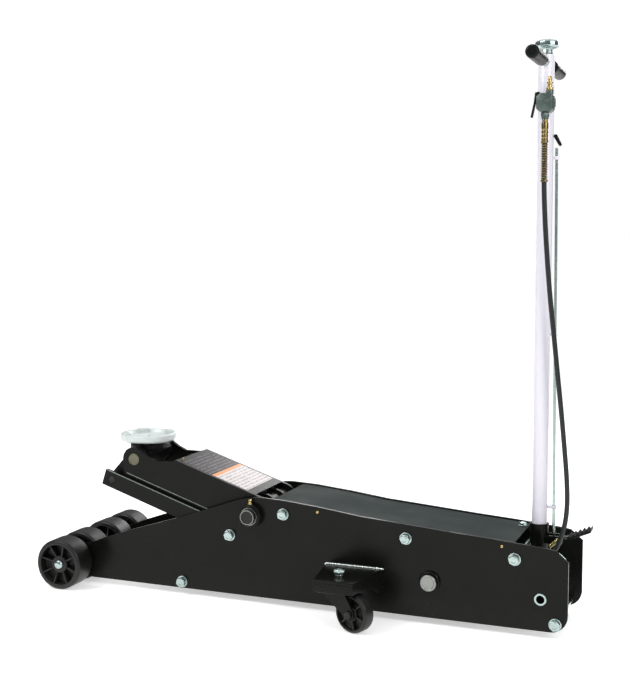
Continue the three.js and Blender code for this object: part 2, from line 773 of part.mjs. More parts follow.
function handleTube() {
  const eye = (z) => cut(
    block(handleX + tubeR - 2, lockRodAt(z) + 7, -6, 6, z - 5, z + 5),
    alongLockRod(lockRodR + pinClearance, z - 6, z + 6),
  );
  const topEye = lockLeverZ - 56;
  const eyes = [320, (320 + topEye) / 2, topEye].map(eye);
  const cheek = (y0) => block(handleX + tubeR - 2, lockLeverX + 5, y0, y0 + 3, lockLeverZ - 5, lockLeverZ + 7);
  return cut(
    joined(rodAlongZ(tubeR, tubeBottom, tubeTop, handleX, 0, 28), ...eyes, cheek(-7), cheek(4)),
    rodAlongZ(tubeR - tubeWall, tubeBottom - 1, tubeTop + 1, handleX, 0, 20),
    rodAlongY(barR + gap, -30, 30, handleX, barZ),
    rodAlongY(2.4, -9, 9, lockLeverX, lockLeverZ, 10),
  );
}
add("handle_tube", handleTube(), white);
add(
  "handle_crossbar",
  cut(
    rodAlongY(barR, -gripOuter + 4, gripOuter - 4, handleX, barZ),
    rodAlongZ(rodCoreR + gap, barZ - 20, barZ + 20, handleX, 0, 12),
  ),
  zinc,
);
for (const [side, word] of [[-1, "left"], [1, "right"]]) {
  const [y0, y1] = side < 0 ? [-gripOuter, -gripInner] : [gripInner, gripOuter];
  const hole = side < 0 ? [y0 + 4 - gap, y1 + 1] : [y0 - 1, y1 - 4 + gap];
  add(
    `grip_${word}`,
    cut(rodAlongY(gripR, y0, y1, handleX, barZ, 24), rodAlongY(barR + gap, ...hole, handleX, barZ, 20)),
    rubber,
  );
}

// release rod down the middle of the tube, and its knob
const knobBase = tubeTop + 1;
add("release_rod", rodAlongZ(rodCoreR, tubeBottom + 6, knobBase + 8, handleX, 0, 12), steel);
add(
  "release_knob",
  cut(
    joined(
      rodAlongZ(17, knobBase, knobBase + 18, handleX, 0, 12),
      rodAlongZ(30.5, knobBase + 17, knobBase + 35, handleX, 0, 12),
    ),
    rodAlongZ(rodCoreR + gap, knobBase - 1, knobBase + 8.4, handleX, 0, 12),
  ),
  zinc,
);

// air control valve clamped to the tube
const valveFront = valveX - 24;
function valveBody() {
  const round = 9;
  const [x0, x1, z0, z1] = [valveFront, valveX + 18, valveZ - 27, valveZ + 27];
  const shape = new THREE.Shape();
  shape.moveTo(x0, z0 + 8);
  shape.lineTo(x0 + 8, z0);
  shape.lineTo(x1 - round, z0);
  shape.absarc(x1 - round, z0 + round, round, -Math.PI / 2, 0, false);
  shape.lineTo(x1, z1);
  shape.lineTo(x0 + 10, z1);
  shape.lineTo(x0, z1 - 10);
  shape.closePath();
  const clamp = cut(
    rodAlongZ(tubeR + 4, valveZ - 10, valveZ + 12, handleX, 0, 28),
    rodAlongZ(tubeR + gap, valveZ - 11, valveZ + 13, handleX, 0, 28),
  );
  const outlet = rodAlongZ(9.5, valveZ - 45, valveZ - 26, hoseX, valveY, 12);
  const body = plateXZ(shape, valveY - 17, valveY + 22);
  const leverSlot = block(x0 - 1, x0 + 12, valveY - 7, valveY + 7, valveZ - 3, valveZ + 28);
  const tubeRoom = rodAlongZ(tubeR + gap, valveZ - 30, valveZ + 30, handleX, 0, 28);
  return cut(joined(body, clamp, outlet), tubeRoom, leverSlot);
}
add("valve_body", valveBody(), castGrey);

const plug = turned([
  [0, 0], [9, 0], [9, 7], [5.5, 8], [5.5, 16], [7.5, 17], [7.5, 22], [4.5, 23], [4.5, 29], [5.6, 31], [4, 36], [0, 36],
], 12);
const plugMesh = add("air_plug", plug, brass);
plugMesh.position.set(valveX + 8, valveY, valveZ + 27 + gap);

const leverPivotX = valveFront + 3;
const leverPivotZ = valveZ + 17;
add(
  "air_lever",
  plateXZ(
    outline([
      [leverPivotX + 5, leverPivotZ + 3], [leverPivotX + 2, leverPivotZ + 8], [leverPivotX - 8, leverPivotZ + 6],
      [leverPivotX - 11, leverPivotZ - 20], [leverPivotX - 19, leverPivotZ - 57], [leverPivotX - 14, leverPivotZ - 58],
      [leverPivotX - 4.5, leverPivotZ - 12], [leverPivotX + 4, leverPivotZ - 3],
    ]),
    valveY - 6,
    valveY + 6,
  ),
  castBlack,
);

// crimped ferrule, spring guard and hose
const ferruleTop = valveZ - 45 - gap;
const guardBottom = hoseTop - guardLength;
add("hose_ferrule", rodAlongZ(9, hoseTop + gap, ferruleTop, hoseX, valveY, 16), brass);
const guard = cut(
  rodAlongZ(9.5, guardBottom, hoseTop, hoseX, valveY, 16),
  rodAlongZ(hoseR + gap + 0.2, guardBottom - 1, hoseTop + 1, hoseX, valveY, 16),
);
add("hose_guard", guard, brass);

const hoseRoute = [
  [hoseX, valveY, hoseTop], [hoseX, valveY, hoseTop - 49.7], [hoseX, valveY, hoseTop - 107.7], [1384, -45, 1080],
  [1391, -44, 980], [1400, -43, 880], [1411, -41, 780], [1422, -40, 680], [1433, -38, 580],
  [1443, -37, 480], [1450, -37, 400], [1452, -38, 336], [1447, -41, 284], [1432, -47, 232],
  [1406, -55, 188], [1376, -62, 153], [1346, motorY, 128], [1320, motorY, motorZ],
  [inletEnd + gap, motorY, motorZ],
];
function hose() {
  const points = hoseRoute.map(([x, y, z]) => new THREE.Vector3(x, y, z));
  const path = new THREE.CatmullRomCurve3(points, false, "centripetal");
  const section = new THREE.Shape();
  const sides = 8;
  for (let i = 0; i < sides; i += 1) {
    const a = (2 * Math.PI * i) / sides;
    if (i === 0) section.moveTo(hoseR, 0);
    else section.lineTo(hoseR * Math.cos(a), hoseR * Math.sin(a));
  }
  section.closePath();
  return solid(new THREE.ExtrudeGeometry(section, { steps: 44, bevelEnabled: false, extrudePath: path }));
}
add("air_hose", hose(), rubber);

// hand lever, rod and foot pedal that free the handle latch
add(
  "lock_lever",
  joined(
    rodAlongY(2, -7, 7, lockLeverX, lockLeverZ, 10),
    plateXZ(capsuleOutline(lockLeverX, lockLeverZ, 5, lockLeverX + 12, lockLeverZ - 22, 4), -3.5, 3.5),
  ),
  castBlack,
);
add("lock_rod", alongLockRod(lockRodR, pedalTopZ + gap, lockRodTop), zinc);

function latchPedal() {
  const arm = plateXZ(
    outline([
      [lockRodX - 6, pedalPivotZ - 2], [lockRodX - 5, pedalTopZ - 2.5], [lockRodX - 1, pedalTopZ],
      [lockRodX + 2, pedalTopZ], [lockRodX + 8, pedalTopZ - 2.5], [pedalPivotX + 8, pedalPivotZ + 8],
      [pedalTip - 60, pedalPivotZ + 9], [pedalTip - 52, pedalPivotZ + 4],
      [pedalPivotX + 8, pedalPivotZ - 7], [pedalPivotX - 8, pedalPivotZ - 7],
    ]),
    -9,
    9,
  );
  const start = pedalTip - 68;
  const slope = (x) => pedalPivotZ + 3 + (x - start) * 0.44;
  const teeth = 6;
  const pitch = (pedalTip - start) / teeth;
  const tread = [[start, slope(start) - 5]];
  tread.push([pedalTip, slope(pedalTip) - 5]);
  for (let i = teeth - 1; i >= 0; i -= 1) {
    const x = start + pitch * i;
    tread.push([x + pitch, slope(x + pitch) + 8]);
    tread.push([x + pitch * 0.45, slope(x) + 3]);
  }
  tread.push([start, slope(start) + 3]);
  return joined(arm, plateXZ(outline(tread), -24, 24), rodAlongY(5, -21, 21, pedalPivotX, pedalPivotZ, 12));
}
add("latch_pedal", latchPedal(), castBlack);

const latchSpring = new THREE.CylinderGeometry(5.5, 5.5, 34, 10);
latchSpring.rotateX(Math.PI / 2);
latchSpring.rotateY(48 * degree);
latchSpring.translate(lockRodX + 6, -29, pedalPivotZ - 6);
add("latch_spring", solid(latchSpring), brass);

export default jack;
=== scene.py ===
# %% [markdown]
# # A long-chassis air and hydraulic service jack
# The solid model of the jack is loaded first and never changed. Everything below either dresses one of its
# parts in a better surface or stands a finer mesh in the very same place, so the looks can't drift from the
# working model. All lengths are metres unless a name ends in `_mm`.

# %% Load the frame
import math

import bmesh
import bpy
from mathutils import Matrix, Vector


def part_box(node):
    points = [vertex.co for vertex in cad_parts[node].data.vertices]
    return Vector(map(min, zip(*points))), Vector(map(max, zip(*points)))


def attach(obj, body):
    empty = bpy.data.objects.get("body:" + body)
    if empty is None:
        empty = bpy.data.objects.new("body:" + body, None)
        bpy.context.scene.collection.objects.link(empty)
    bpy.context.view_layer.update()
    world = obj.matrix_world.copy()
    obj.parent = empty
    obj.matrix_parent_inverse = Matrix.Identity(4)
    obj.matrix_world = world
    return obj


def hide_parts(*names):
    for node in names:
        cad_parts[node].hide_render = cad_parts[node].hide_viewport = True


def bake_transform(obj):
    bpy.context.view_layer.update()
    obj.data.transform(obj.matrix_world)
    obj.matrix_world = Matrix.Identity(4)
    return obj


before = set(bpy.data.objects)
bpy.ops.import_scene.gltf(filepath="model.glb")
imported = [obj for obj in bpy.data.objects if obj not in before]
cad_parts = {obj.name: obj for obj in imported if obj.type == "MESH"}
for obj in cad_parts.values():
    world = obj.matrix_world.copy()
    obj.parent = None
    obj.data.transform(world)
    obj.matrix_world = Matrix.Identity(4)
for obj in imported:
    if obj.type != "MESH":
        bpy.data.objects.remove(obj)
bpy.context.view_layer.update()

# %% [markdown]
# ## Where things are
# The jack's own drawing counts millimetres from the front axle. `at` turns such a place into the frame's
# metres, with the axle's place read from the frame, so one drawing serves both.

# %% Places
MM = 0.001


def middle(node):
    low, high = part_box(node)
    return (low + high) / 2


axle_x = middle("front_axle").x


def at(x_mm, y_mm, z_mm):
    return Vector((axle_x + x_mm * MM, y_mm * MM, z_mm * MM))


def place_of(node):
    """How far behind the front axle and how high a node's middle is, in millimetres."""
    spot = middle(node)
    return (spot.x - axle_x) / MM, spot.z / MM


HANDLE_X = 1374
PIVOT_X, PIVOT_Z = 586, 254
HANDLE_PIVOT_X, HANDLE_PIVOT_Z = 1402, 104
LINK_DX, LINK_DZ = -68, -63
SADDLE_X = 185
STEM_X, STEM_Y = 889, 232
HOSE_X, HOSE_Y = 1380, -45
SIDES = ((-1, "left"), (1, "right"))
print("front axle at x =", round(axle_x, 4))

# %% [markdown]
# ## Camera
# A long lens far off and a little above keeps the tall handle straight. The camera is set from a spot, a
# heading and a dip, because each of those can be changed without upsetting the other two.

# %% Camera
camera_spot = at(1924, -3038.6, 1014.2)
heading = math.radians(21.47)
dip = math.radians(4.59)
lens = bpy.data.cameras.new("camera")
lens.sensor_width = 36
lens.lens = 61.4
camera = bpy.data.objects.new("camera", lens)
camera.rotation_euler = (math.pi / 2 - dip, 0, heading)
camera.location = camera_spot
bpy.context.scene.collection.objects.link(camera)
bpy.context.scene.camera = camera
print("camera at", [round(v, 2) for v in camera_spot])

# %% [markdown]
# ## Mesh tools
# Most of a jack is turned on a lathe, cut from plate or bent from rod. So three small tools make almost
# every piece: one turns a profile, one cuts a plate and breaks its edges, one sweeps a round section along
# a line. Each gives back a loose mesh, and `piece` joins several into one object.

# %% Turned shapes
AXES = {"X": Vector((1, 0, 0)), "Y": Vector((0, 1, 0)), "Z": Vector((0, 0, 1))}


def side_axes(along):
    axis = along if isinstance(along, Vector) else AXES[along]
    helper = AXES["Z"] if abs(axis.z) < 0.9 else AXES["X"]
    first = axis.cross(helper).normalized()
    return axis, first, axis.cross(first)


def rounded(points, radius, steps=3):
    """The same outline with each inner corner replaced by a short arc."""
    result = [points[0]]
    for before, corner, after in zip(points, points[1:], points[2:]):
        a, b, c = Vector(before), Vector(corner), Vector(after)
        reach = min(radius, (a - b).length * 0.45, (c - b).length * 0.45)
        start, end = b + (a - b).normalized() * reach, b + (c - b).normalized() * reach
        for i in range(steps + 1):
            t = i / steps
            result.append(tuple(start * (1 - t) ** 2 + b * 2 * t * (1 - t) + end * t ** 2))
    return result + [points[-1]]


def turned(profile_mm, spot, along="Z", sides=48, round_mm=0.8, twist=0.0):
    """Turns (radius, distance) pairs about a line through spot. A closed profile makes a ring."""
    axis, first, second = side_axes(along)
    profile = rounded(profile_mm, round_mm) if round_mm else profile_mm
    ring_shaped = profile[0] == profile[-1]
    if ring_shaped:
        profile = profile[:-1]
    mesh = bmesh.new()
    rings = []
    for radius, distance in profile:
        centre = spot + axis * distance * MM
        if radius < 1e-6:
            rings.append([mesh.verts.new(centre)])
            continue
        ring = []
        for i in range(sides):
            a = 2 * math.pi * i / sides + twist
            ring.append(mesh.verts.new(centre + (first * math.cos(a) + second * math.sin(a)) * radius * MM))
        rings.append(ring)
    pairs = list(zip(rings, rings[1:]))
    if ring_shaped:
        pairs.append((rings[-1], rings[0]))
    for low, high in pairs:
        for i in range(sides):
            j = (i + 1) % sides
            corners = [low[i % len(low)], low[j % len(low)], high[j % len(high)], high[i % len(high)]]
            corners = list(dict.fromkeys(corners))
            if len(corners) > 2:
                mesh.faces.new(corners)
    if not ring_shaped:
        for ring in (rings[0], rings[-1]):
            if len(ring) > 2:
                mesh.faces.new(ring)
    bmesh.ops.recalc_face_normals(mesh, faces=mesh.faces)
    return mesh


def rod(radius_mm, start_mm, end_mm, spot, along="Z", sides=40, edge_mm=0.8):
    profile = [(0, start_mm), (radius_mm, start_mm), (radius_mm, end_mm), (0, end_mm)]
    return turned(profile, spot, along, sides, edge_mm)


def hoop(inner, outer, low, high):
    """The closed section of a plain ring, ready to be turned."""
    return [(inner, low), (outer, low), (outer, high), (inner, high), (inner, low)]


# %% Plates and bars
def plate(outline, toward, thickness_mm, edge_mm=1.0, steps=2):
    """A flat outline of points, thickened along toward, with its edges broken."""
    mesh = bmesh.new()
    face = mesh.faces.new([mesh.verts.new(p) for p in outline])
    grown = bmesh.ops.extrude_face_region(mesh, geom=[face])
    step = toward.normalized() * thickness_mm * MM
    for vert in (g for g in grown["geom"] if isinstance(g, bmesh.types.BMVert)):
        vert.co += step
    bmesh.ops.recalc_face_normals(mesh, faces=mesh.faces)
    if edge_mm:
        sharp = [e for e in mesh.edges if e.calc_face_angle(0) > math.radians(40)]
        bmesh.ops.bevel(mesh, geom=sharp, offset=edge_mm * MM, segments=steps, profile=0.5, affect="EDGES")
    return mesh


def side_cut(points_mm, y0_mm, y1_mm, edge_mm=1.0):
    """A plate drawn from the side in X and Z, as thick as from y0 to y1."""
    return plate([at(x, y0_mm, z) for x, z in points_mm], AXES["Y"], y1_mm - y0_mm, edge_mm)


def box_between(low_mm, high_mm, edge_mm=1.0):
    (x0, y0, z0), (x1, y1, z1) = low_mm, high_mm
    return side_cut([(x0, z0), (x1, z0), (x1, z1), (x0, z1)], y0, y1, edge_mm)


def arc(x, z, radius, start, end, steps=10):
    angles = [math.radians(start + (end - start) * i / steps) for i in range(steps + 1)]
    return [(x + radius * math.cos(a), z + radius * math.sin(a)) for a in angles]


def capsule(x0, z0, r0, x1, z1, r1):
    """The outline of a bar with round ends of two sizes."""
    along = math.degrees(math.atan2(z1 - z0, x1 - x0))
    lean = math.degrees(math.acos((r0 - r1) / math.hypot(x1 - x0, z1 - z0)))
    first = arc(x0, z0, r0, along + lean, along - lean + 360, 14)
    return first + arc(x1, z1, r1, along - lean, along + lean, 14)


# %% Swept shapes
def swept(points, radius_mm, sides=12):
    """A round section carried along a line of points without twisting."""
    mesh = bmesh.new()
    ways = [(b - a).normalized() for a, b in zip(points, points[1:])]
    ways = [ways[0]] + [(a + b).normalized() for a, b in zip(ways, ways[1:])] + [ways[-1]]
    _, up, _ = side_axes(ways[0])
    rings = []
    for point, way in zip(points, ways):
        up = (up - way * up.dot(way)).normalized()
        side = way.cross(up)
        ring = []
        for i in range(sides):
            a = 2 * math.pi * i / sides
            ring.append(mesh.verts.new(point + (up * math.cos(a) + side * math.sin(a)) * radius_mm * MM))
        rings.append(ring)
    for low, high in zip(rings, rings[1:]):
        for i in range(sides):
            j = (i + 1) % sides
            mesh.faces.new((low[i], low[j], high[j], high[i]))
    mesh.faces.new(rings[0])
    mesh.faces.new(rings[-1])
    bmesh.ops.recalc_face_normals(mesh, faces=mesh.faces)
    return mesh


def helix(start, end, radius_mm, turns, per_turn=14):
    """Points along a coil spring's wire, at an even pitch from end to end."""
    axis, first, second = side_axes((end - start).normalized())
    points = []
    for i in range(turns * per_turn + 1):
        t = i / (turns * per_turn)
        a = 2 * math.pi * turns * t
        points.append(start.lerp(end, t) + (first * math.cos(a) + second * math.sin(a)) * radius_mm * MM)
    return points


# %% Joining loose meshes into a piece
def piece(name, parts, finish, body, stands_for=(), smooth=38):
    joined = bmesh.new()
    for part in parts:
        loose = bpy.data.meshes.new("loose")
        part.to_mesh(loose)
        part.free()
        joined.from_mesh(loose)
        bpy.data.meshes.remove(loose)
    data = bpy.data.meshes.new(name)
    joined.to_mesh(data)
    joined.free()
    data.shade_smooth()
    data.set_sharp_from_angle(angle=math.radians(smooth))
    thing = bpy.data.objects.new(name, data)
    bpy.context.scene.collection.objects.link(thing)
    data.materials.append(finish)
    if body:
        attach(thing, body)
    if stands_for:
        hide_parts(*stands_for)
    return thing


print("mesh tools ready")

# %% [markdown]
# ## Surface effects
# Paint, plating and rubber share a few effects: blotches where a coat is thin or rubbed, fine grain, long
# brush marks, and dust that settles near the floor. Each is a node group with named inputs, so a material
# only says how much of it it wants. They give colours and heights; the shader stays in each material.

# %% Node group tools
def group(name, inputs, outputs):
    tree = bpy.data.node_groups.new(name, "ShaderNodeTree")
    for label, kind, value in inputs:
        socket = tree.interface.new_socket(name=label, in_out="INPUT", socket_type=kind)
        socket.default_value = value
    for label, kind in outputs:
        tree.interface.new_socket(name=label, in_out="OUTPUT", socket_type=kind)
    return tree, tree.nodes.new("NodeGroupInput"), tree.nodes.new("NodeGroupOutput")


def node(tree, kind, **settings):
    made = tree.nodes.new(kind)
    for key, value in settings.items():
        if key in made.inputs:
            made.inputs[key].default_value = value
        else:
            setattr(made, key, value)
    return made


COLOUR, NUMBER = "NodeSocketColor", "NodeSocketFloat"


def own_coordinates(tree):
    return node(tree, "ShaderNodeTexCoord").outputs["Object"]


# %% Blotches
def make_blotches():
    """Soft patches of a second colour, as on thin paint or tarnished plating; on the weld and edge strips
    they also break up a painted glint.
    """
    tree, source, sink = group(
        "blotches",
        [("Colour", COLOUR, (0.5, 0.5, 0.5, 1)), ("Patch Colour", COLOUR, (0.4, 0.4, 0.4, 1)),
         ("Scale", NUMBER, 12), ("Cover", NUMBER, 0.5), ("Strength", NUMBER, 0.5)],
        [("Colour", COLOUR), ("Mask", NUMBER)],
    )
    noise = node(tree, "ShaderNodeTexNoise", Detail=6, Roughness=0.6)
    spread = node(tree, "ShaderNodeMapRange", interpolation_type="SMOOTHSTEP")
    edge = node(tree, "ShaderNodeMath", operation="SUBTRACT")
    edge.inputs[0].default_value = 1
    upper = node(tree, "ShaderNodeMath", operation="ADD")
    upper.inputs[1].default_value = 0.18
    amount = node(tree, "ShaderNodeMath", operation="MULTIPLY")
    mix = node(tree, "ShaderNodeMix", data_type="RGBA")
    links = tree.links
    links.new(own_coordinates(tree), noise.inputs["Vector"])
    links.new(source.outputs["Scale"], noise.inputs["Scale"])
    links.new(source.outputs["Cover"], edge.inputs[1])
    links.new(edge.outputs[0], upper.inputs[0])
    links.new(noise.outputs["Fac"], spread.inputs["Value"])
    links.new(edge.outputs[0], spread.inputs["From Min"])
    links.new(upper.outputs[0], spread.inputs["From Max"])
    links.new(spread.outputs[0], amount.inputs[0])
    links.new(source.outputs["Strength"], amount.inputs[1])
    links.new(amount.outputs[0], mix.inputs["Factor"])
    links.new(source.outputs["Colour"], mix.inputs["A"])
    links.new(source.outputs["Patch Colour"], mix.inputs["B"])
    links.new(mix.outputs["Result"], sink.inputs["Colour"])
    links.new(spread.outputs[0], sink.inputs["Mask"])
    return tree


# %% Grain and brush marks
def make_grain():
    """Fine bumps and the roughness that goes with them. Stretch draws them out into brush marks."""
    tree, source, sink = group(
        "grain",
        [("Scale", NUMBER, 400), ("Stretch X", NUMBER, 1), ("Stretch Y", NUMBER, 1), ("Stretch Z", NUMBER, 1),
         ("Roughness Low", NUMBER, 0.3), ("Roughness High", NUMBER, 0.4)],
        [("Height", NUMBER), ("Roughness", NUMBER)],
    )
    stretch = node(tree, "ShaderNodeCombineXYZ")
    scaled = node(tree, "ShaderNodeVectorMath", operation="MULTIPLY")
    noise = node(tree, "ShaderNodeTexNoise", Detail=3, Roughness=0.55)
    broad = node(tree, "ShaderNodeTexNoise", Scale=9.0, Detail=4)
    spread = node(tree, "ShaderNodeMapRange")
    spread.inputs["From Min"].default_value = 0.3
    spread.inputs["From Max"].default_value = 0.7
    links = tree.links
    for label in "XYZ":
        links.new(source.outputs["Stretch " + label], stretch.inputs[label])
    coordinates = own_coordinates(tree)
    links.new(coordinates, scaled.inputs[0])
    links.new(stretch.outputs[0], scaled.inputs[1])
    links.new(scaled.outputs[0], noise.inputs["Vector"])
    links.new(source.outputs["Scale"], noise.inputs["Scale"])
    links.new(coordinates, broad.inputs["Vector"])
    links.new(broad.outputs["Fac"], spread.inputs["Value"])
    links.new(source.outputs["Roughness Low"], spread.inputs["To Min"])
    links.new(source.outputs["Roughness High"], spread.inputs["To Max"])
    links.new(noise.outputs["Fac"], sink.inputs["Height"])
    links.new(spread.outputs[0], sink.inputs["Roughness"])
    return tree


# %% Dust near the floor
def make_dust():
    """Pale dust on whatever stands low, thinning out with height and broken up by noise."""
    tree, source, sink = group(
        "low dust",
        [("Colour", COLOUR, (0.02, 0.02, 0.02, 1)), ("Dust Colour", COLOUR, (0.16, 0.15, 0.13, 1)),
         ("Height", NUMBER, 0.12), ("Amount", NUMBER, 0.3)],
        [("Colour", COLOUR), ("Mask", NUMBER)],
    )
    coordinates = own_coordinates(tree)
    split = node(tree, "ShaderNodeSeparateXYZ")
    fade = node(tree, "ShaderNodeMapRange", interpolation_type="SMOOTHSTEP")
    fade.inputs["From Min"].default_value = 0
    fade.inputs["To Min"].default_value = 1
    fade.inputs["To Max"].default_value = 0
    noise = node(tree, "ShaderNodeTexNoise", Scale=38.0, Detail=7, Roughness=0.7)
    patchy = node(tree, "ShaderNodeMath", operation="MULTIPLY")
    amount = node(tree, "ShaderNodeMath", operation="MULTIPLY")
    mix = node(tree, "ShaderNodeMix", data_type="RGBA")
    links = tree.links
    links.new(coordinates, split.inputs[0])
    links.new(coordinates, noise.inputs["Vector"])
    links.new(split.outputs["Z"], fade.inputs["Value"])
    links.new(source.outputs["Height"], fade.inputs["From Max"])
    links.new(fade.outputs[0], patchy.inputs[0])
    links.new(noise.outputs["Fac"], patchy.inputs[1])
    links.new(patchy.outputs[0], amount.inputs[0])
    links.new(source.outputs["Amount"], amount.inputs[1])
    links.new(amount.outputs[0], mix.inputs["Factor"])
    links.new(source.outputs["Colour"], mix.inputs["A"])
    links.new(source.outputs["Dust Colour"], mix.inputs["B"])
    links.new(mix.outputs["Result"], sink.inputs["Colour"])
    links.new(amount.outputs[0], sink.inputs["Mask"])
    return tree


blotches, grain, low_dust = make_blotches(), make_grain(), make_dust()
print("node groups:", [g.name for g in bpy.data.node_groups])

# %% [markdown]
# ## Finishes
# Every finish is made the same way: colour, a second colour in patches, a little dust, and a grain that
# drives both bump and roughness. Paint gets a clear coat, plating is metal, rubber is rough and dark.

# %% Finish builder
def finish(name, slot, colour, patch, rough, metal=0.0, coat=0.0, gloss=0.5, scale=14, cover=0.45,
           strength=0.5, grain_scale=420, bump=0.05, stretch=(1, 1, 1), dust=0.0):
    material = bpy.data.materials.new(name)
    material.use_nodes = True
    material["slot"] = slot
    tree = material.node_tree
    shader = tree.nodes["Principled BSDF"]
    patches = node(tree, "ShaderNodeGroup", node_tree=blotches)
    fine = node(tree, "ShaderNodeGroup", node_tree=grain)
    relief = node(tree, "ShaderNodeBump", Strength=bump, Distance=0.002)
    patches.inputs["Colour"].default_value = (*colour, 1)
    patches.inputs["Patch Colour"].default_value = (*patch, 1)
    patches.inputs["Scale"].default_value = scale
    patches.inputs["Cover"].default_value = cover
    patches.inputs["Strength"].default_value = strength
    fine.inputs["Scale"].default_value = grain_scale
    for label, value in zip("XYZ", stretch):
        fine.inputs["Stretch " + label].default_value = value
    fine.inputs["Roughness Low"].default_value = rough[0]
    fine.inputs["Roughness High"].default_value = rough[1]
    shader.inputs["Metallic"].default_value = metal
    shader.inputs["Coat Weight"].default_value = coat
    shader.inputs["Specular IOR Level"].default_value = gloss
    shader.inputs["Coat Roughness"].default_value = 0.12
    colour_out = patches.outputs["Colour"]
    if dust:
        settled = node(tree, "ShaderNodeGroup", node_tree=low_dust)
        settled.inputs["Amount"].default_value = dust
        tree.links.new(colour_out, settled.inputs["Colour"])
        colour_out = settled.outputs["Colour"]
    tree.links.new(colour_out, shader.inputs["Base Color"])
    tree.links.new(fine.outputs["Roughness"], shader.inputs["Roughness"])
    tree.links.new(fine.outputs["Height"], relief.inputs["Height"])
    tree.links.new(relief.outputs["Normal"], shader.inputs["Normal"])
    return material


# %% Paints
enamel_black = finish("enamel_black", "black_paint", (0.0042, 0.0047, 0.0036), (0.0072, 0.0080, 0.0064),
                      (0.24, 0.36), gloss=0.13, coat=0.03, scale=7, grain_scale=260, bump=0.05, dust=0.05)
cover_green = finish("cover_green", "cover_paint", (0.0105, 0.0190, 0.0175), (0.0160, 0.0270, 0.0250),
                     (0.50, 0.62), gloss=0.05, scale=9, grain_scale=520, bump=0.12)
cast_black = finish("cast_black", "cast_black", (0.0042, 0.0044, 0.0040), (0.0085, 0.0088, 0.0080),
                    (0.36, 0.52), gloss=0.18, scale=30, grain_scale=330, bump=0.35, dust=0.04)
enamel_white = finish("enamel_white", "white_paint", (0.72, 0.70, 0.77), (0.64, 0.63, 0.70),
                      (0.30, 0.38), coat=0.3, scale=5, grain_scale=300, bump=0.03)
saddle_silver = finish("saddle_silver", "saddle_silver", (0.62, 0.67, 0.66), (0.44, 0.50, 0.49),
                       (0.34, 0.46), metal=0.15, scale=34, strength=0.45, grain_scale=260, bump=0.25)
valve_grey = finish("valve_grey", "cast_grey", (0.085, 0.115, 0.105), (0.17, 0.215, 0.195),
                    (0.30, 0.44), metal=0.6, scale=60, grain_scale=600, bump=0.2)
# %% Metals
zinc_plate = finish("zinc_plate", "zinc", (0.40, 0.49, 0.475), (0.17, 0.23, 0.22),
                    (0.14, 0.28), metal=1.0, scale=85, strength=0.5, grain_scale=900, bump=0.06)
# painted glint: bright metal in patches stands in for the highlights on a black-painted weld bead
weld_painted_glint = finish("weld_painted_glint", "black_paint", (0.72, 0.78, 0.76), (0.03, 0.034, 0.033),
                    (0.16, 0.30), metal=0.9, scale=170, cover=0.44, strength=0.9, grain_scale=400, bump=0.2)
bare_steel = finish("bare_steel", "steel", (0.27, 0.28, 0.26), (0.15, 0.145, 0.13),
                    (0.26, 0.40), metal=1.0, scale=40, grain_scale=500, bump=0.08, stretch=(1, 0.15, 1))
dark_pin = finish("dark_pin", "steel", (0.022, 0.023, 0.021), (0.05, 0.05, 0.046),
                  (0.30, 0.42), metal=0.7, scale=50, grain_scale=500, bump=0.08)
olive_pin = finish("olive_pin", "steel", (0.15, 0.145, 0.10), (0.085, 0.085, 0.06),
                   (0.28, 0.40), metal=0.8, scale=60, grain_scale=500, bump=0.08)
turned_brass = finish("turned_brass", "brass", (0.50, 0.38, 0.17), (0.22, 0.15, 0.06),
                      (0.18, 0.32), metal=1.0, scale=90, grain_scale=800, bump=0.05)
aged_brass = finish("aged_brass", "brass", (0.27, 0.20, 0.085), (0.09, 0.065, 0.03),
                    (0.20, 0.34), metal=1.0, scale=90, grain_scale=800, bump=0.05)
yellow_wire = finish("yellow_wire", "spring_yellow", (0.66, 0.57, 0.26), (0.36, 0.30, 0.12),
                     (0.22, 0.34), metal=0.9, scale=120, grain_scale=900, bump=0.05)
# %% Rubbers
tread_black = finish("tread_black", "tread", (0.0040, 0.0040, 0.0038), (0.0080, 0.0080, 0.0076),
                     (0.30, 0.48), gloss=0.35, scale=22, grain_scale=240, bump=0.18, dust=0.12)
grip_black = finish("grip_black", "grip_rubber", (0.006, 0.0075, 0.007), (0.010, 0.012, 0.011),
                    (0.24, 0.36), gloss=0.1, scale=30, grain_scale=700, bump=0.12)
hose_black = finish("hose_black", "hose_rubber", (0.011, 0.015, 0.0135), (0.017, 0.022, 0.020),
                    (0.30, 0.42), gloss=0.35, scale=20, grain_scale=600, bump=0.15)
print("finishes:", len(bpy.data.materials))

# %% [markdown]
# ## The air hose
# A rubber hose of half an inch runs from the valve, down behind the handle, and into the chassis. It is a
# fixed length of hose held at both ends, so it stands off the handle in one long bow. It is swept along its
# line as one fixed mesh.

# %% Air hose
HOSE_R_MM = 6.5
hose_route_mm = [
    (1380, -45, 1279.7), (1380, -45, 1230), (1380, -45, 1172), (1384, -45, 1080), (1391, -44, 980),
    (1400, -43, 880), (1411, -41, 780), (1422, -40, 680), (1433, -38, 580), (1443, -37, 480),
    (1450, -37, 400), (1452, -38, 336), (1447, -41, 284), (1432, -47, 232), (1406, -55, 188),
    (1376, -62, 153), (1346, -66, 128), (1320, -66, 118), (1298.3, -66, 118),
]


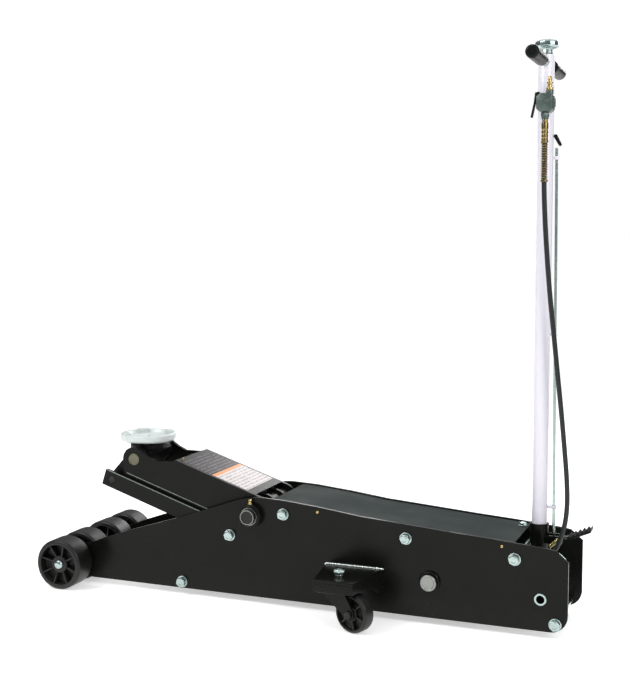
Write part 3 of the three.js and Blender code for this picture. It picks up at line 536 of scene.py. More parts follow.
def smooth_line(points, per_span=8):
    """A centripetal curve through the points."""
    ends = [points[0] * 2 - points[1], *points, points[-1] * 2 - points[-2]]
    line = []
    for p0, p1, p2, p3 in zip(ends, ends[1:], ends[2:], ends[3:]):
        t0, t1 = 0.0, math.sqrt((p1 - p0).length)
        t2 = t1 + math.sqrt((p2 - p1).length)
        t3 = t2 + math.sqrt((p3 - p2).length)
        for i in range(per_span):
            t = t1 + (t2 - t1) * i / per_span
            a1 = p0.lerp(p1, (t - t0) / (t1 - t0))
            a2 = p1.lerp(p2, (t - t1) / (t2 - t1))
            a3 = p2.lerp(p3, (t - t2) / (t3 - t2))
            b1 = a1.lerp(a2, (t - t0) / (t2 - t0))
            b2 = a2.lerp(a3, (t - t1) / (t3 - t1))
            line.append(b1.lerp(b2, (t - t1) / (t2 - t1)))
    return line + [points[-1]]


hose_line = smooth_line([at(*p) for p in hose_route_mm])
hose = piece("air_hose_rubber", [swept(hose_line, HOSE_R_MM, 20)], hose_black, None, ["air_hose"])
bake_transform(hose)

# %% [markdown]
# ## Stage
# A plain white floor and soft light from all round, as for a catalogue. One large lamp high on the left
# gives the plates their gradient, a smaller one from the right lights the handle.

# %% Floor and light
floor_mesh = bmesh.new()
bmesh.ops.create_grid(floor_mesh, x_segments=1, y_segments=1, size=30)
floor_data = bpy.data.meshes.new("floor")
floor_mesh.to_mesh(floor_data)
floor_mesh.free()
floor = bpy.data.objects.new("floor", floor_data)
floor.location.z = -0.0005
bpy.context.scene.collection.objects.link(floor)
floor_white = bpy.data.materials.new("floor_white")
floor_white.use_nodes = True
floor_shader = floor_white.node_tree.nodes["Principled BSDF"]
floor_shader.inputs["Base Color"].default_value = (0.85, 0.85, 0.85, 1)
floor_shader.inputs["Roughness"].default_value = 0.9
floor_shader.inputs["Specular IOR Level"].default_value = 0.0
floor_shader.inputs["Emission Color"].default_value = (1, 1, 1, 1)
floor_shader.inputs["Emission Strength"].default_value = 0.5
floor_data.materials.append(floor_white)

world = bpy.data.worlds.new("studio")
bpy.context.scene.world = world
world.use_nodes = True
sky = world.node_tree
paper = sky.nodes["Background"]
paper.inputs["Color"].default_value = (1, 1, 1, 1)
studio = node(sky, "ShaderNodeBackground")
way_up = node(sky, "ShaderNodeSeparateXYZ")
rise_ramp = node(sky, "ShaderNodeValToRGB")
for place, grey in ((0.0, 0.10), (0.16, 0.10), (0.30, 0.34), (0.62, 0.62), (0.85, 1.0)):
    if 0 < place < 0.85:
        stop = rise_ramp.color_ramp.elements.new(place)
    else:
        stop = rise_ramp.color_ramp.elements[-1 if place else 0]
    stop.position = place
    stop.color = (grey, grey, grey, 1)
seen = node(sky, "ShaderNodeLightPath")
either = node(sky, "ShaderNodeMixShader")
sky.links.new(node(sky, "ShaderNodeTexCoord").outputs["Generated"], way_up.inputs[0])
sky.links.new(way_up.outputs["Z"], rise_ramp.inputs[0])
sky.links.new(rise_ramp.outputs[0], studio.inputs["Color"])
sky.links.new(seen.outputs["Is Camera Ray"], either.inputs[0])
sky.links.new(studio.outputs[0], either.inputs[1])
sky.links.new(paper.outputs[0], either.inputs[2])
sky.links.new(either.outputs[0], sky.nodes["World Output"].inputs["Surface"])
bpy.context.scene.view_settings.view_transform = "Standard"


def lamp(name, spot, aim, size, watts):
    light = bpy.data.lights.new(name, "AREA")
    light.shape, light.size, light.energy = "SQUARE", size, watts
    thing = bpy.data.objects.new(name, light)
    thing.location = spot
    thing.rotation_euler = (aim - spot).to_track_quat("-Z", "Y").to_euler()
    thing.visible_camera = False
    bpy.context.scene.collection.objects.link(thing)


jack_middle = Vector((0, 0, 0.4))
lamp("key", Vector((-2.2, -2.6, 3.4)), jack_middle, 1.6, 90)
lamp("fill", Vector((3.0, -1.8, 2.2)), jack_middle, 1.2, 40)
lamp("rim", Vector((0.4, 3.0, 2.6)), jack_middle, 1.6, 50)
lamp("edge", Vector((-1.1, 3.2, 1.25)), Vector((-0.3, 0, 0.3)), 0.8, 9)
print("stage set")

# %% [markdown]
# ## Parts that keep their own solid
# Flat plate work is already right in the solid model: the side plates, the arm, the links, the folded
# cover and the caster forks. They only need welded corners, a broken edge that catches the light, and
# their paint. Modifiers do that without touching the solid itself.

# %% Dress the plate work
def dress(node_name, surface, edge_mm=1.0):
    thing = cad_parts[node_name]
    thing.data.materials.clear()
    thing.data.materials.append(surface)
    weld = thing.modifiers.new("weld", "WELD")
    weld.merge_threshold = 1e-5
    edge = thing.modifiers.new("edge", "BEVEL")
    edge.width = edge_mm * MM
    edge.segments = 2
    edge.limit_method = "ANGLE"
    edge.angle_limit = math.radians(40)
    edge.harden_normals = False
    return thing


for name, surface, edge_mm in [
    ("side_plate_left", enamel_black, 0.9), ("side_plate_right", enamel_black, 0.9),
    ("lift_arm", enamel_black, 1.2),
    ("link_bar_left", enamel_black, 1.2), ("link_bar_right", enamel_black, 1.2),
    ("top_cover", cover_green, 0.8), ("hydraulic_block", cast_black, 2.0),
    ("caster_yoke_left", enamel_black, 0.6), ("caster_yoke_right", enamel_black, 0.6),
]:
    dress(name, surface, edge_mm)
print("dressed the plate work")

# %% [markdown]
# ## Bolts
# The side plates are drawn together by tie bars with a washer and a hexagon bolt at each end. A hexagon
# head is a six-sided plate whose outer corners are turned away at a slant; the shallow dome in the middle
# is what a forging die leaves.

# %% Hexagon heads
def hex_head(spot, along, start_mm, height_mm, corner_mm, turn=0.0):
    """A bolt head: six flats, a chamfered top and a shallow round centre."""
    axis, first, second = side_axes(along)
    sign = 1 if height_mm > 0 else -1
    base = spot + axis * start_mm * MM
    corners = []
    for i in range(6):
        a = math.pi * i / 3 + turn
        corners.append(base + (first * math.cos(a) + second * math.sin(a)) * corner_mm * MM)
    head = plate(corners, axis * sign, abs(height_mm), corner_mm * 0.1, 3)
    flat = corner_mm * 0.8
    end = start_mm + height_mm
    crown = turned([(0, end - sign * 2), (flat, end - sign * 2), (flat, end + sign * 0.5),
                    (flat * 0.6, end + sign * 0.9), (flat * 0.5, end + sign * 0.5), (0, end + sign * 0.5)],
                   spot, along, 36, 0.4)
    return [head, crown]


def washer(spot, along, start_mm, end_mm, outer_mm, inner_mm=6.0):
    return turned(hoop(inner_mm, outer_mm, start_mm, end_mm), spot, along, 40, 0.6)


# %% Tie bars
PLATE_OUT = 125.3
WASHER_T, WASHER_R = 3.6, 16.8
HEAD_T, HEAD_R = 11.6, 14.8


def bolt_end(spot, side, turn):
    """A washer against the side plate with a hexagon head on it."""
    head_foot = side * (PLATE_OUT + WASHER_T)
    return [washer(spot, "Y", side * PLATE_OUT, head_foot, WASHER_R),
            *hex_head(spot, "Y", head_foot, side * HEAD_T, HEAD_R, turn=turn)]


ties_mm = [(683, 265), (364, 39.5), (1040, 230), (1334, 203), (1441, 42)]
for number, (x, z) in enumerate(ties_mm, 1):
    spot = at(x, 0, z)
    parts = [rod(8.9, -PLATE_OUT, PLATE_OUT, spot, "Y")]
    for side in (-1, 1):
        parts += bolt_end(spot, side, 0.35 * number)
    piece(f"tie_bar_{number}_bolts", parts, zinc_plate, "chassis", [f"tie_bar_{number}"])
print("tie bars:", len(ties_mm))

# %% Link pivot bolts
for side, word in SIDES:
    spot = at(PIVOT_X + LINK_DX, 0, PIVOT_Z + LINK_DZ)
    parts = [rod(11.8, side * 104.6, side * PLATE_OUT, spot, "Y"), *bolt_end(spot, side, 0.2)]
    piece(f"link_bolt_{word}", parts, zinc_plate, "chassis", [f"link_pivot_bolt_{word}"])

# %% [markdown]
# ## Pins
# The heavy pins are turned bar with a chamfer at each end. The main pivot stands proud in its welded boss
# and carries a brass grease nipple on top, and the cylinder's pin shows a bright faced end.

# %% Pivot shaft, cylinder pin and the smaller pins
def faced_pin(radius, half, spot, recess=1.2):
    end = [(radius, half - 1.8), (radius - 1.6, half), (radius * 0.76, half), (radius * 0.72, half - recess),
           (0, half - recess)]
    return turned([(r, -y) for r, y in reversed(end)] + end, spot, "Y", 56, 0.5)


def grease_nipple(spot, along="Z"):
    body = [(0, -2), (3.4, -2), (3.4, 3), (2.2, 3.6), (2.2, 6), (3.0, 7), (2.6, 9), (1.2, 10), (0, 10)]
    return turned(body, spot, along, 20, 0.3)


pivot_spot = at(PIVOT_X, 0, PIVOT_Z)
RAM_Z = middle("cylinder_barrel").z / MM
piece("pivot_shaft_turned", [faced_pin(22.4, 159.5, pivot_spot, 0.6)], dark_pin, "chassis", ["pivot_shaft"])
mount_spot = at(1107, 0, RAM_Z)
piece("cylinder_pin_turned", [faced_pin(22.4, 144.5, mount_spot)], bare_steel, "chassis", ["cylinder_pin"])
for side, word in SIDES:
    fitting = [(0, -2), (6.4, -2), (6.4, 3), (4.4, 4.2), (4.4, 8), (6, 9.6), (5, 13), (2.4, 14.6), (0, 14.6)]
    piece(f"pivot_nipple_{word}", [turned(fitting, at(PIVOT_X, side * 136, 287), "Z", 24, 0.5)], turned_brass,
          "chassis")
    # a bright steel ring on the dark pin's end face is a painted highlight along its edge
    face_highlight_ring = hoop(18.6, 20.6, side * 159.0, side * 159.8)
    piece(f"pivot_face_highlight_ring_{word}", [turned(face_highlight_ring, pivot_spot, "Y", 56, 0.2)], bare_steel, "chassis")
    retainer = [(22.9, 142.4), (31, 142.4), (31, 145), (26, 147), (22.9, 147), (22.9, 142.4)]
    retainer = [(r, side * y) for r, y in retainer]
    piece(f"pivot_washer_{word}", [turned(retainer, pivot_spot, "Y", 56, 0.5)], enamel_black, "chassis")
    clip = hoop(22.9, 25.0, side * 147.2, side * 148.2)
    piece(f"pivot_clip_{word}", [turned(clip, pivot_spot, "Y", 56, 0.2)], bare_steel, "chassis")
    collar = [(22.9, 125.2), (29, 125.2), (29, 131), (27, 133), (22.9, 133), (22.9, 125.2)]
    collar = [(r, side * y) for r, y in collar]
    piece(f"pin_collar_{word}", [turned(collar, mount_spot, "Y", 56, 0.6)], enamel_black, "chassis")
head_pin = faced_pin(17.9, 102.9, middle("head_pin"), 0.9)
piece("head_pin_turned", [head_pin], olive_pin, "lift_arm", ["head_pin"])
piece("lever_pin_turned", [faced_pin(13.9, 71.8, middle("lever_pin"))], bare_steel, "lift_arm", ["lever_pin"])
piece("link_pin_turned", [faced_pin(11.9, 116.6, middle("link_front_pin"), 0.8)], dark_pin, "lift_head",
      ["link_front_pin"])
handle_pivot = at(HANDLE_PIVOT_X, 0, HANDLE_PIVOT_Z)
piece("handle_pivot_plated", [turned(hoop(11, 15.9, -128, 128), handle_pivot, "Y", 48, 0.8)], zinc_plate,
      "chassis", ["handle_pivot_tube"])

# %% [markdown]
# ## Small brass screws
# Two screws a side hold the folded cover, with one plated bolt at its rear. A brass fitting sits at the
# corner of the arm. A bare-metal strip on the slanted rear corner of the near plate is a painted highlight.

# %% Cover screws
button = [(0, 124.5), (4.6, 124.5), (4.4, 126.4), (2.6, 128.2), (0, 128.6)]
for number, (x, z) in enumerate(((785, 279), (1300, 233)), 1):
    for side, word in SIDES:
        screw = turned([(r, side * y) for r, y in button], at(x, 0, z), "Y", 24, 0.5)
        piece(f"cover_screw_{number}_{word}", [screw], turned_brass, "chassis")

cover_bolt = at(1314.5, 78, 243.7)
cover_bolt_parts = [washer(cover_bolt, "Z", 0, 1.6, 12.5, 3), *hex_head(cover_bolt, "Z", 1.4, 7.4, 10.6, 0.3)]
piece("cover_bolt_rear", cover_bolt_parts, zinc_plate, "chassis")
# a bright zinc strip along the corner's slant is a painted highlight
corner_glint = swept([at(1447, -118.4, 227.6), at(1464, -118.4, 213.2)], 1.8, 12)
piece("corner_painted_highlight", [corner_glint], zinc_plate, "chassis")

# %% [markdown]
# ## Front wheels
# Four moulded wheels share the axle. Each has a thick tread with soft shoulders, a dished web stiffened
# by eight ribs on both faces, and a plain hub. The tread is turned, the ribs are small plates set round it.

# %% Front wheels
WHEEL_R, WHEEL_HALF = 74.1, 37


def ribbed_wheel(spot, along, radius, half, hub_r, bore_r, ribs, rim_depth, hub_back):
    """A moulded wheel: tread and web as one turning, with stiffening ribs on both faces."""
    rim = radius - rim_depth
    web = half * 0.3
    profile = [
        (bore_r, -half + hub_back), (hub_r, -half + hub_back), (hub_r + 1, -web), (rim - 2, -web),
        (rim, -half),
        (radius - 5, -half), (radius, -half + 6), (radius, half - 6), (radius - 5, half), (rim, half),
        (rim - 2, web), (hub_r + 1, web), (hub_r, half - hub_back), (bore_r, half - hub_back),
        (bore_r, -half + hub_back),
    ]
    parts = [turned(profile, spot, along, 96, 2.4)]
    axis, first, second = side_axes(along)
    for i in range(ribs):
        a = 2 * math.pi * i / ribs + 0.3
        out = first * math.cos(a) + second * math.sin(a)
        across = axis.cross(out)
        for side in (-1, 1):
            inner, outer = hub_r - 1, rim + 0.5
            corners = [(inner, web - 1), (outer, web - 1), (outer, half - 3), (inner, half - hub_back - 1.5)]
            outline = [spot + (out * r + axis * side * h - across * 2.2) * MM for r, h in corners]
            parts.append(plate(outline, across, 4.4, 0.8, 2))
    return parts


AXLE_Z = middle("front_axle").z / MM
for number, y in enumerate((-182, -70, 70, 182), 1):
    wheel = f"front_wheel_{number}"
    parts = ribbed_wheel(at(0, y, AXLE_Z), "Y", WHEEL_R, WHEEL_HALF, 25, 12.6, 8, 15, 8)
    piece(wheel + "_moulded", parts, tread_black, wheel, [wheel])

# the axle ends in a domed cap over each outer hub
dome = [(0, 221), (6, 220.6), (11, 218.6), (13.6, 215.4), (14.2, 211.4), (0, 211.4)]
axle_spot = at(0, 0, AXLE_Z)
axle_parts = [rod(11.9, -211, 211, axle_spot, "Y")]
for side in (-1, 1):
    axle_parts.append(turned([(r, side * y) for r, y in dome], axle_spot, "Y", 40, 0.8))
    for inner, outer in ((107.5, 116), (126, 144.5)):
        axle_parts.append(turned(hoop(12.2, 19, side * inner, side * outer), axle_spot, "Y", 40, 0.8))
piece("front_axle_plated", axle_parts, zinc_plate, "chassis", ["front_axle"])
print("front wheels: 4")

# %% [markdown]
# ## Casters
# Each rear wheel hangs under a plate bracket welded to the side. The weld is laid as a row of small
# overlapping ripples, and its glint is painted: bright metal patches on a bead that is really black paint.

# %% Caster brackets
def weld_bead(points, radius_mm, ripple_mm=4.0):
    """A row of overlapping round beads along a line."""
    parts = []
    for start, end in zip(points, points[1:]):
        count = max(2, round((end - start).length / (ripple_mm * MM)))
        for i in range(count):
            wobble = 1 + 0.18 * math.sin(i * 2.3) + 0.1 * math.sin(i * 5.1)
            drop = bmesh.new()
            bmesh.ops.create_icosphere(drop, subdivisions=2, radius=radius_mm * wobble * MM)
            drop.transform(Matrix.Translation(start.lerp(end, (i + 0.5) / count)))
            parts.append(drop)
    return parts


BRACKET_Z = 139.5
BRACKET_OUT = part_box("caster_bracket_right")[1].y / MM - 0.2
APRON_Z = 106
gusset_mm = [(125.4, 76), (145, 76), (180, 98.5), (206, APRON_Z), (BRACKET_OUT - 1, APRON_Z),
             (BRACKET_OUT - 1, 134), (125.4, 134)]
for side, word in SIDES:
    corners = [(811, 125.4), (979, 125.4), (945, BRACKET_OUT), (836, BRACKET_OUT)]
    parts = [plate([at(x, side * y, BRACKET_Z - 8) for x, y in corners], AXES["Z"], 8, 1.6, 3)]
    for near_x, far_x, inward in ((811, 836, 1), (979, 945, -1)):
        wall = []
        for y, z in gusset_mm:
            t = (y - 125.4) / (BRACKET_OUT - 125.4)
            wall.append(at(near_x + (far_x - near_x) * t, side * y, z))
        parts.append(plate(wall, AXES["X"] * inward, 7, 1.2, 2))
    # the apron closes the outer end, with a rolled lip along its foot
    apron_y = sorted((side * (BRACKET_OUT - 7), side * (BRACKET_OUT - 1.5)))
    parts.append(box_between((837.5, apron_y[0], APRON_Z), (943.5, apron_y[1], 134), 1.6))
    lip_y = side * (BRACKET_OUT - 3.4)
    for z in (APRON_Z + 3.6, APRON_Z + 21):
        parts.append(swept([at(838, lip_y, z), at(943, lip_y, z)], 3.3, 12))
    piece(f"caster_bracket_{word}_plate", parts, enamel_black, "chassis", [f"caster_bracket_{word}"])
    bead = weld_bead([at(812, side * 127, BRACKET_Z), at(978, side * 127, BRACKET_Z)], 3.6)
    bead += weld_bead([at(811.5, side * 127, BRACKET_Z - 2), at(813, side * 134, BRACKET_Z)], 3.0)
    # the bright patches on this bead are a painted glint
    piece(f"bracket_weld_glint_{word}", bead, weld_painted_glint, "chassis", smooth=60)
    stem = at(STEM_X, side * STEM_Y, BRACKET_Z)
    collar = [(0, -0.5), (12.2, -0.5), (12.2, 5.5), (11, 7.2), (0, 7.2)]
    parts = [turned(collar, stem, "Z", 40, 0.6), *hex_head(stem, "Z", 7, 12.5, 16.2, 0.3),
             rod(7.8, 12, 21.8, stem, "Z")]
    piece(f"caster_nut_{word}", parts, zinc_plate, "chassis")

# %% Caster wheels
TRAIL, CASTER_Z, SWING = 52, middle("caster_wheel_left").z / MM, math.radians(18.5)
for side, word in SIDES:
    hub = at(STEM_X + TRAIL * math.cos(SWING), side * (STEM_Y + TRAIL * math.sin(SWING)), CASTER_Z)
    spin = Vector((-side * math.sin(SWING), math.cos(SWING), 0))
    parts = ribbed_wheel(hub, spin, 51.7, 20, 19, 8.6, 6, 9, 1)
    wheel = f"caster_wheel_{word}"
    piece(wheel + "_moulded", parts, tread_black, wheel, [wheel])
    bolt = [rod(7.9, -27, 27, hub, spin)]
    for end in (-1, 1):
        bolt += hex_head(hub, spin, end * 27.4, end * 5.6, 11.8, 0.2)
    piece(f"caster_bolt_{word}", bolt, dark_pin, f"caster_{word}", [f"caster_axle_{word}"])
print("casters: 2")

# %% [markdown]
# ## Lifting head and saddle
# The head is a casting: a round neck standing on a boss that the arm's pin and the links' pin pass
# through. The saddle that turns in it is cast too, pale, with four lugs round a shallow dish.

# %% Lifting head
pin_x, pin_z = place_of("head_pin")
link_x, link_z = pin_x + LINK_DX, pin_z + LINK_DZ
neck = [(0, 394), (50, 394), (54, 399), (54, 416), (50, 419), (50, 424.0), (0, 424.0)]
head_parts = [turned([(r, z - 394) for r, z in neck], at(SADDLE_X, 0, 394), "Z", 72, 2.0)]
for y0 in (-88, 62):
    head_parts.append(side_cut(capsule(pin_x, pin_z, 30, link_x, link_z, 22), y0, y0 + 26, 2))
head_parts.append(side_cut(capsule(pin_x, pin_z, 25, link_x, link_z, 17), -87, 87, 1))
head_parts.append(side_cut([(137, 400), (233, 400), (218, 368), (162, 382)], -60, 60, 3))
piece("lift_head_casting", head_parts, cast_black, "lift_head", ["lift_head"])

# %% Saddle
SADDLE_R, SADDLE_TOP, LUG_FOOT = 83.4, 450.3, 434.6
dish = [(0, 407), (15.8, 407), (15.8, 424.6), (SADDLE_R - 6, 424.6), (SADDLE_R, 429), (SADDLE_R, 445),
        (SADDLE_R - 3, 447.3), (SADDLE_R - 13, 447.3), (SADDLE_R - 20, 436.5), (34, 435.4), (30, 433.4),
        (0, 433.4)]
saddle_parts = [turned([(r, z - 407) for r, z in dish], at(SADDLE_X, 0, 407), "Z", 96, 1.6)]
for i in range(4):
    outline = [(58, -19, LUG_FOOT), (79, -15, LUG_FOOT), (79, 15, LUG_FOOT), (58, 19, LUG_FOOT)]
    lug = plate([Vector(p) * MM for p in outline], AXES["Z"], SADDLE_TOP - LUG_FOOT, 2.0, 3)
    lug.transform(Matrix.Translation(at(SADDLE_X, 0, 0)) @ Matrix.Rotation(math.radians(45 + 90 * i), 4, "Z"))
    saddle_parts.append(lug)
piece("saddle_casting", saddle_parts, saddle_silver, "saddle", ["saddle"])

# %% [markdown]
# ## Arm edge highlights and label
# Pale lines along the links' upper edges and along the hem of the arm's sides are painted highlights: each is
# a thin swept strip in a pale metal finish.
#
# The arm's top carries a printed panel: a dark part, an orange stripe and a pale part. It is three thin
# sheets stuck to the plate. The pale part has rows of grey dashes in place of any words.

# %% Label
arm_rise = math.radians(18)


def on_arm(along_mm, y_mm, above_mm):
    """A place on the arm: so far from the pivot, so far across, so far above the pin line."""
    x = PIVOT_X - along_mm * math.cos(arm_rise) + above_mm * math.sin(arm_rise)
    z = PIVOT_Z + along_mm * math.sin(arm_rise) + above_mm * math.cos(arm_rise)
    return at(x, y_mm, z)


def printed(name, ground, ink, rows, columns, amount):
    """Paper with rows of soft dashes, from two waves laid across each other."""
    material = finish(name, "black_paint", ground, ground, (0.32, 0.42), gloss=0.15, grain_scale=300,
                      bump=0.02)
    tree = material.node_tree
    coordinates = own_coordinates(tree)
    turn = node(tree, "ShaderNodeMapping")
    turn.inputs["Rotation"].default_value = (0, -arm_rise, 0)
    row = node(tree, "ShaderNodeTexWave", bands_direction="X", Scale=rows)
    breaks = node(tree, "ShaderNodeTexNoise", Scale=columns, Detail=1)
    cut_rows = node(tree, "ShaderNodeMath", operation="GREATER_THAN")
    cut_rows.inputs[1].default_value = 0.55
    cut_breaks = node(tree, "ShaderNodeMath", operation="GREATER_THAN")
    cut_breaks.inputs[1].default_value = 0.47
    both = node(tree, "ShaderNodeMath", operation="MULTIPLY")
    soft = node(tree, "ShaderNodeMath", operation="MULTIPLY")
    soft.inputs[1].default_value = amount
    mix = node(tree, "ShaderNodeMix", data_type="RGBA")
    mix.inputs["A"].default_value = (*ground, 1)
    mix.inputs["B"].default_value = (*ink, 1)
    links = tree.links
    links.new(coordinates, turn.inputs[0])
    links.new(turn.outputs[0], row.inputs["Vector"])
    links.new(turn.outputs[0], breaks.inputs["Vector"])
    links.new(row.outputs["Fac"], cut_rows.inputs[0])
    links.new(breaks.outputs["Fac"], cut_breaks.inputs[0])
    links.new(cut_rows.outputs[0], both.inputs[0])
    links.new(cut_breaks.outputs[0], both.inputs[1])
    links.new(both.outputs[0], soft.inputs[0])
    links.new(soft.outputs[0], mix.inputs["Factor"])
    links.new(mix.outputs["Result"], tree.nodes["Principled BSDF"].inputs["Base Color"])
    return material


label_dark = printed("label_dark", (0.012, 0.009, 0.012), (0.12, 0.095, 0.11), 22, 160, 0.8)
label_pale = printed("label_pale", (0.62, 0.58, 0.57), (0.24, 0.20, 0.21), 24, 190, 0.7)
label_orange = finish("label_orange", "black_paint", (0.72, 0.22, 0.025), (0.60, 0.17, 0.02), (0.32, 0.42))


def sticker(name, from_mm, to_mm, half_mm, surface):
    corners = [(from_mm, -half_mm), (to_mm, -half_mm), (to_mm, half_mm), (from_mm, half_mm)]
    normal = Vector((math.sin(arm_rise), 0, math.cos(arm_rise)))
    sheet = plate([on_arm(s, y, 50.05) for s, y in corners], normal, 0.35, 0.1, 1)
    piece(name, [sheet], surface, "lift_arm")


# %% Painted edge highlights
# a pale metal finish that paints the highlight along an edge
painted_edge_highlight = finish("painted_edge_highlight", "black_paint", (0.17, 0.20, 0.19), (0.035, 0.042, 0.040),
                     (0.24, 0.38), metal=0.5, scale=60, strength=0.6, grain_scale=400, bump=0.1)
# each strip below is a painted highlight along an edge, not bare metal
for side, word in SIDES:
    hem = [on_arm(s, side * 101.6, -47) for s in (110, 424)]
    piece(f"arm_hem_highlight_{word}", [swept(hem, 1.5, 12)], painted_edge_highlight, "lift_arm")
    edge = [on_arm(s, side * 115.2, 23.2) + Vector((LINK_DX, 0, LINK_DZ)) * MM for s in (-18, 438)]
    piece(f"link_edge_highlight_{word}", [swept(edge, 1.5, 12)], painted_edge_highlight, "links")

# %% Panels
sticker("label_pale_panel", 46, 151, 92, label_pale)
sticker("label_orange_stripe", 151.2, 164, 92, label_orange)
sticker("label_dark_panel", 164.2, 262, 92, label_dark)
nipple_spot = on_arm(272, -78, 49)
piece("arm_nipple", [grease_nipple(nipple_spot, Vector((math.sin(arm_rise), 0, math.cos(arm_rise))))],
      turned_brass, "lift_arm")
print("label on the arm")

# %% [markdown]
# ## Hydraulic unit
# Under the cover a barrel is pinned to the frame at its rear block. Its ram drives a slotted crosshead
# that carries the arm's lever, two springs pull it home, and a hand pump and an air motor feed it.

# %% Barrel, gland, ram and springs
ram_line = at(0, 0, RAM_Z)
barrel = [(0, 1054), (41.8, 1054), (41.8, 1030), (39, 1027), (39, 760), (41.8, 757), (41.8, 730.2),
          (33, 730.2), (33, 1028), (0, 1028)]
piece("barrel_turned", [turned(barrel, ram_line, "X", 64, 0.8)], cast_black, "chassis", ["cylinder_barrel"])
gland = [(20.4, 710), (45.8, 710), (45.8, 729.5), (32.6, 729.5), (32.6, 743.5), (20.4, 743.5), (20.4, 710)]
gland_parts = [turned(gland, ram_line, "X", 64, 0.8)]
for y0 in (-74, 44):
    gland_parts.append(box_between((714.2, y0, RAM_Z - 11.8), (729.4, y0 + 30, RAM_Z + 11.8), 2))
piece("gland_turned", gland_parts, bare_steel, "chassis", ["cylinder_gland"])
lever_x, lever_z = place_of("lever_pin")
low, high = RAM_Z - 45.8, RAM_Z + 45.8
cross_parts = [
    box_between((lever_x - 36, -28, low), (lever_x - 16.6, 28, high), 2),
    box_between((lever_x + 16.6, -28, low), (lever_x + 34, 28, high), 2),
    box_between((lever_x - 30, -28, low), (lever_x + 30, 28, RAM_Z - 30.2), 2),
    box_between((lever_x - 30, -28, RAM_Z + 34.2), (lever_x + 30, 28, high), 2),
    rod(19.9, lever_x + 30, 797, ram_line, "X", 56),
    rod(32.6, 796, 822, ram_line, "X", 64),
]
piece("ram_turned", cross_parts, bare_steel, "ram", ["ram"])
for side, word in SIDES:
    wire = helix(at(577.5, side * 62, lever_z), at(712, side * 62, lever_z), 7.4, 15)
    spring = piece(f"return_spring_{word}_wire", [swept(wire, 1.2, 8)], bare_steel, None,
                   [f"return_spring_{word}"])
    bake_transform(spring)

# %% Pump, plunger and air motor
pump = [(8.5, 1195.5), (8.5, 1290), (17, 1290), (17, 1282), (19.8, 1280), (19.8, 1165.6), (0, 1165.6),
        (0, 1195.5), (8.5, 1195.5)]
pump_line = at(0, 0, 70)
piece("pump_turned", [turned(pump, pump_line, "X", 48, 0.6)], bare_steel, "chassis", ["pump_body"])
piece("plunger_turned", [rod(7.9, 1248.2, 1393.6, pump_line, "X", 40, 1.2)], bare_steel, "pump_plunger",
      ["pump_plunger"])
motor = [(0, 1165.6), (27.8, 1165.6)]
for x in range(1176, 1262, 12):
    motor += [(27.8, x), (25.6, x + 1.5), (25.6, x + 4.5), (27.8, x + 6)]
motor += [(27.8, 1278), (24, 1281.8), (0, 1281.8)]
motor_line = at(0, -66, 118)
motor_parts = [turned(motor, motor_line, "X", 48, 0.6), *hex_head(motor_line, "X", 1281, 8, 9),
               rod(7.2, 1288, 1298, motor_line, "X")]
piece("air_motor_cast", motor_parts, valve_grey, "chassis", ["air_motor"])
print("hydraulic unit in place")

# %% [markdown]
# ## Handle
# A black socket turns on the pivot tube and holds the white handle tube. On top are the two grips and the
# release knob; a control rod on small guides runs down the back to a foot pedal that frees the latch.

# %% Socket
handle_line = at(HANDLE_X, 0, 0)
socket_bore = [(20.9, 142), (20.9, 274), (22, 275), (24.4, 275), (24.4, 262), (24.4, 84), (0, 84), (0, 142),
               (20.9, 142)]
CAM_BASE_R, CAM_START, CAM_SWEEP, CAM_STEPS = 34, 8, 65, 8
cam_outline = [(HANDLE_PIVOT_X - CAM_START, HANDLE_PIVOT_Z)]
for i in range(CAM_STEPS + 1):
    a = math.radians(CAM_SWEEP * i / CAM_STEPS)
    reach = CAM_START + CAM_BASE_R * a
    cam_outline.append((HANDLE_PIVOT_X - reach * math.cos(a) + CAM_BASE_R * math.sin(a),
                        HANDLE_PIVOT_Z - reach * math.sin(a) - CAM_BASE_R * math.cos(a)))
cam_outline += [(HANDLE_PIVOT_X + 24, HANDLE_PIVOT_Z - 30), (HANDLE_PIVOT_X + 24, HANDLE_PIVOT_Z)]
socket_parts = [turned(socket_bore, handle_line, "Z", 56, 0.6)]
for y0 in (-24, 17):
    lug = capsule(HANDLE_PIVOT_X, HANDLE_PIVOT_Z, 27, HANDLE_X, HANDLE_PIVOT_Z + 4, 24)
    socket_parts.append(side_cut(lug, y0, y0 + 7, 1))
socket_parts.append(side_cut(cam_outline, -12, 12, 1))
for y0 in (-18.5, 12.5):
    socket_parts.append(box_between((1388, y0, 224), (1437, y0 + 6, 246), 1.6))
piece("socket_welded", socket_parts, enamel_black, "handle", ["handle_socket"])
rolled = [(24.2, 268), (25.4, 269), (25.4, 274), (24.2, 275), (24.2, 268)]
piece("socket_lip", [turned(rolled, handle_line, "Z", 56, 0.3)], enamel_black, "handle")

# %% Tube and guides
tube_wall = hoop(17, 20.45, 144.2, 1505)
piece("tube_enamelled", [turned(tube_wall, handle_line, "Z", 64, 1.0)], enamel_white, "handle",
      ["handle_tube"])


def rod_at(z):
    """The middle of the lock rod at a height: its top leans in towards the tube."""
    return at(1412 - 9 * (z - 243) / 1023, 0, z)


for number, z in enumerate((320, 780, 1240), 1):
    eye = hoop(4.5, 7, -4.5, 4.5)
    centre = rod_at(z)
    reach = (centre.x - axle_x) / MM - 4.8
    arm = box_between((1393, -4.5, z - 4), (reach, 4.5, z + 4), 1)
    piece(f"rod_guide_{number}", [turned(eye, centre, "Z", 28, 0.6), arm], enamel_white, "handle")

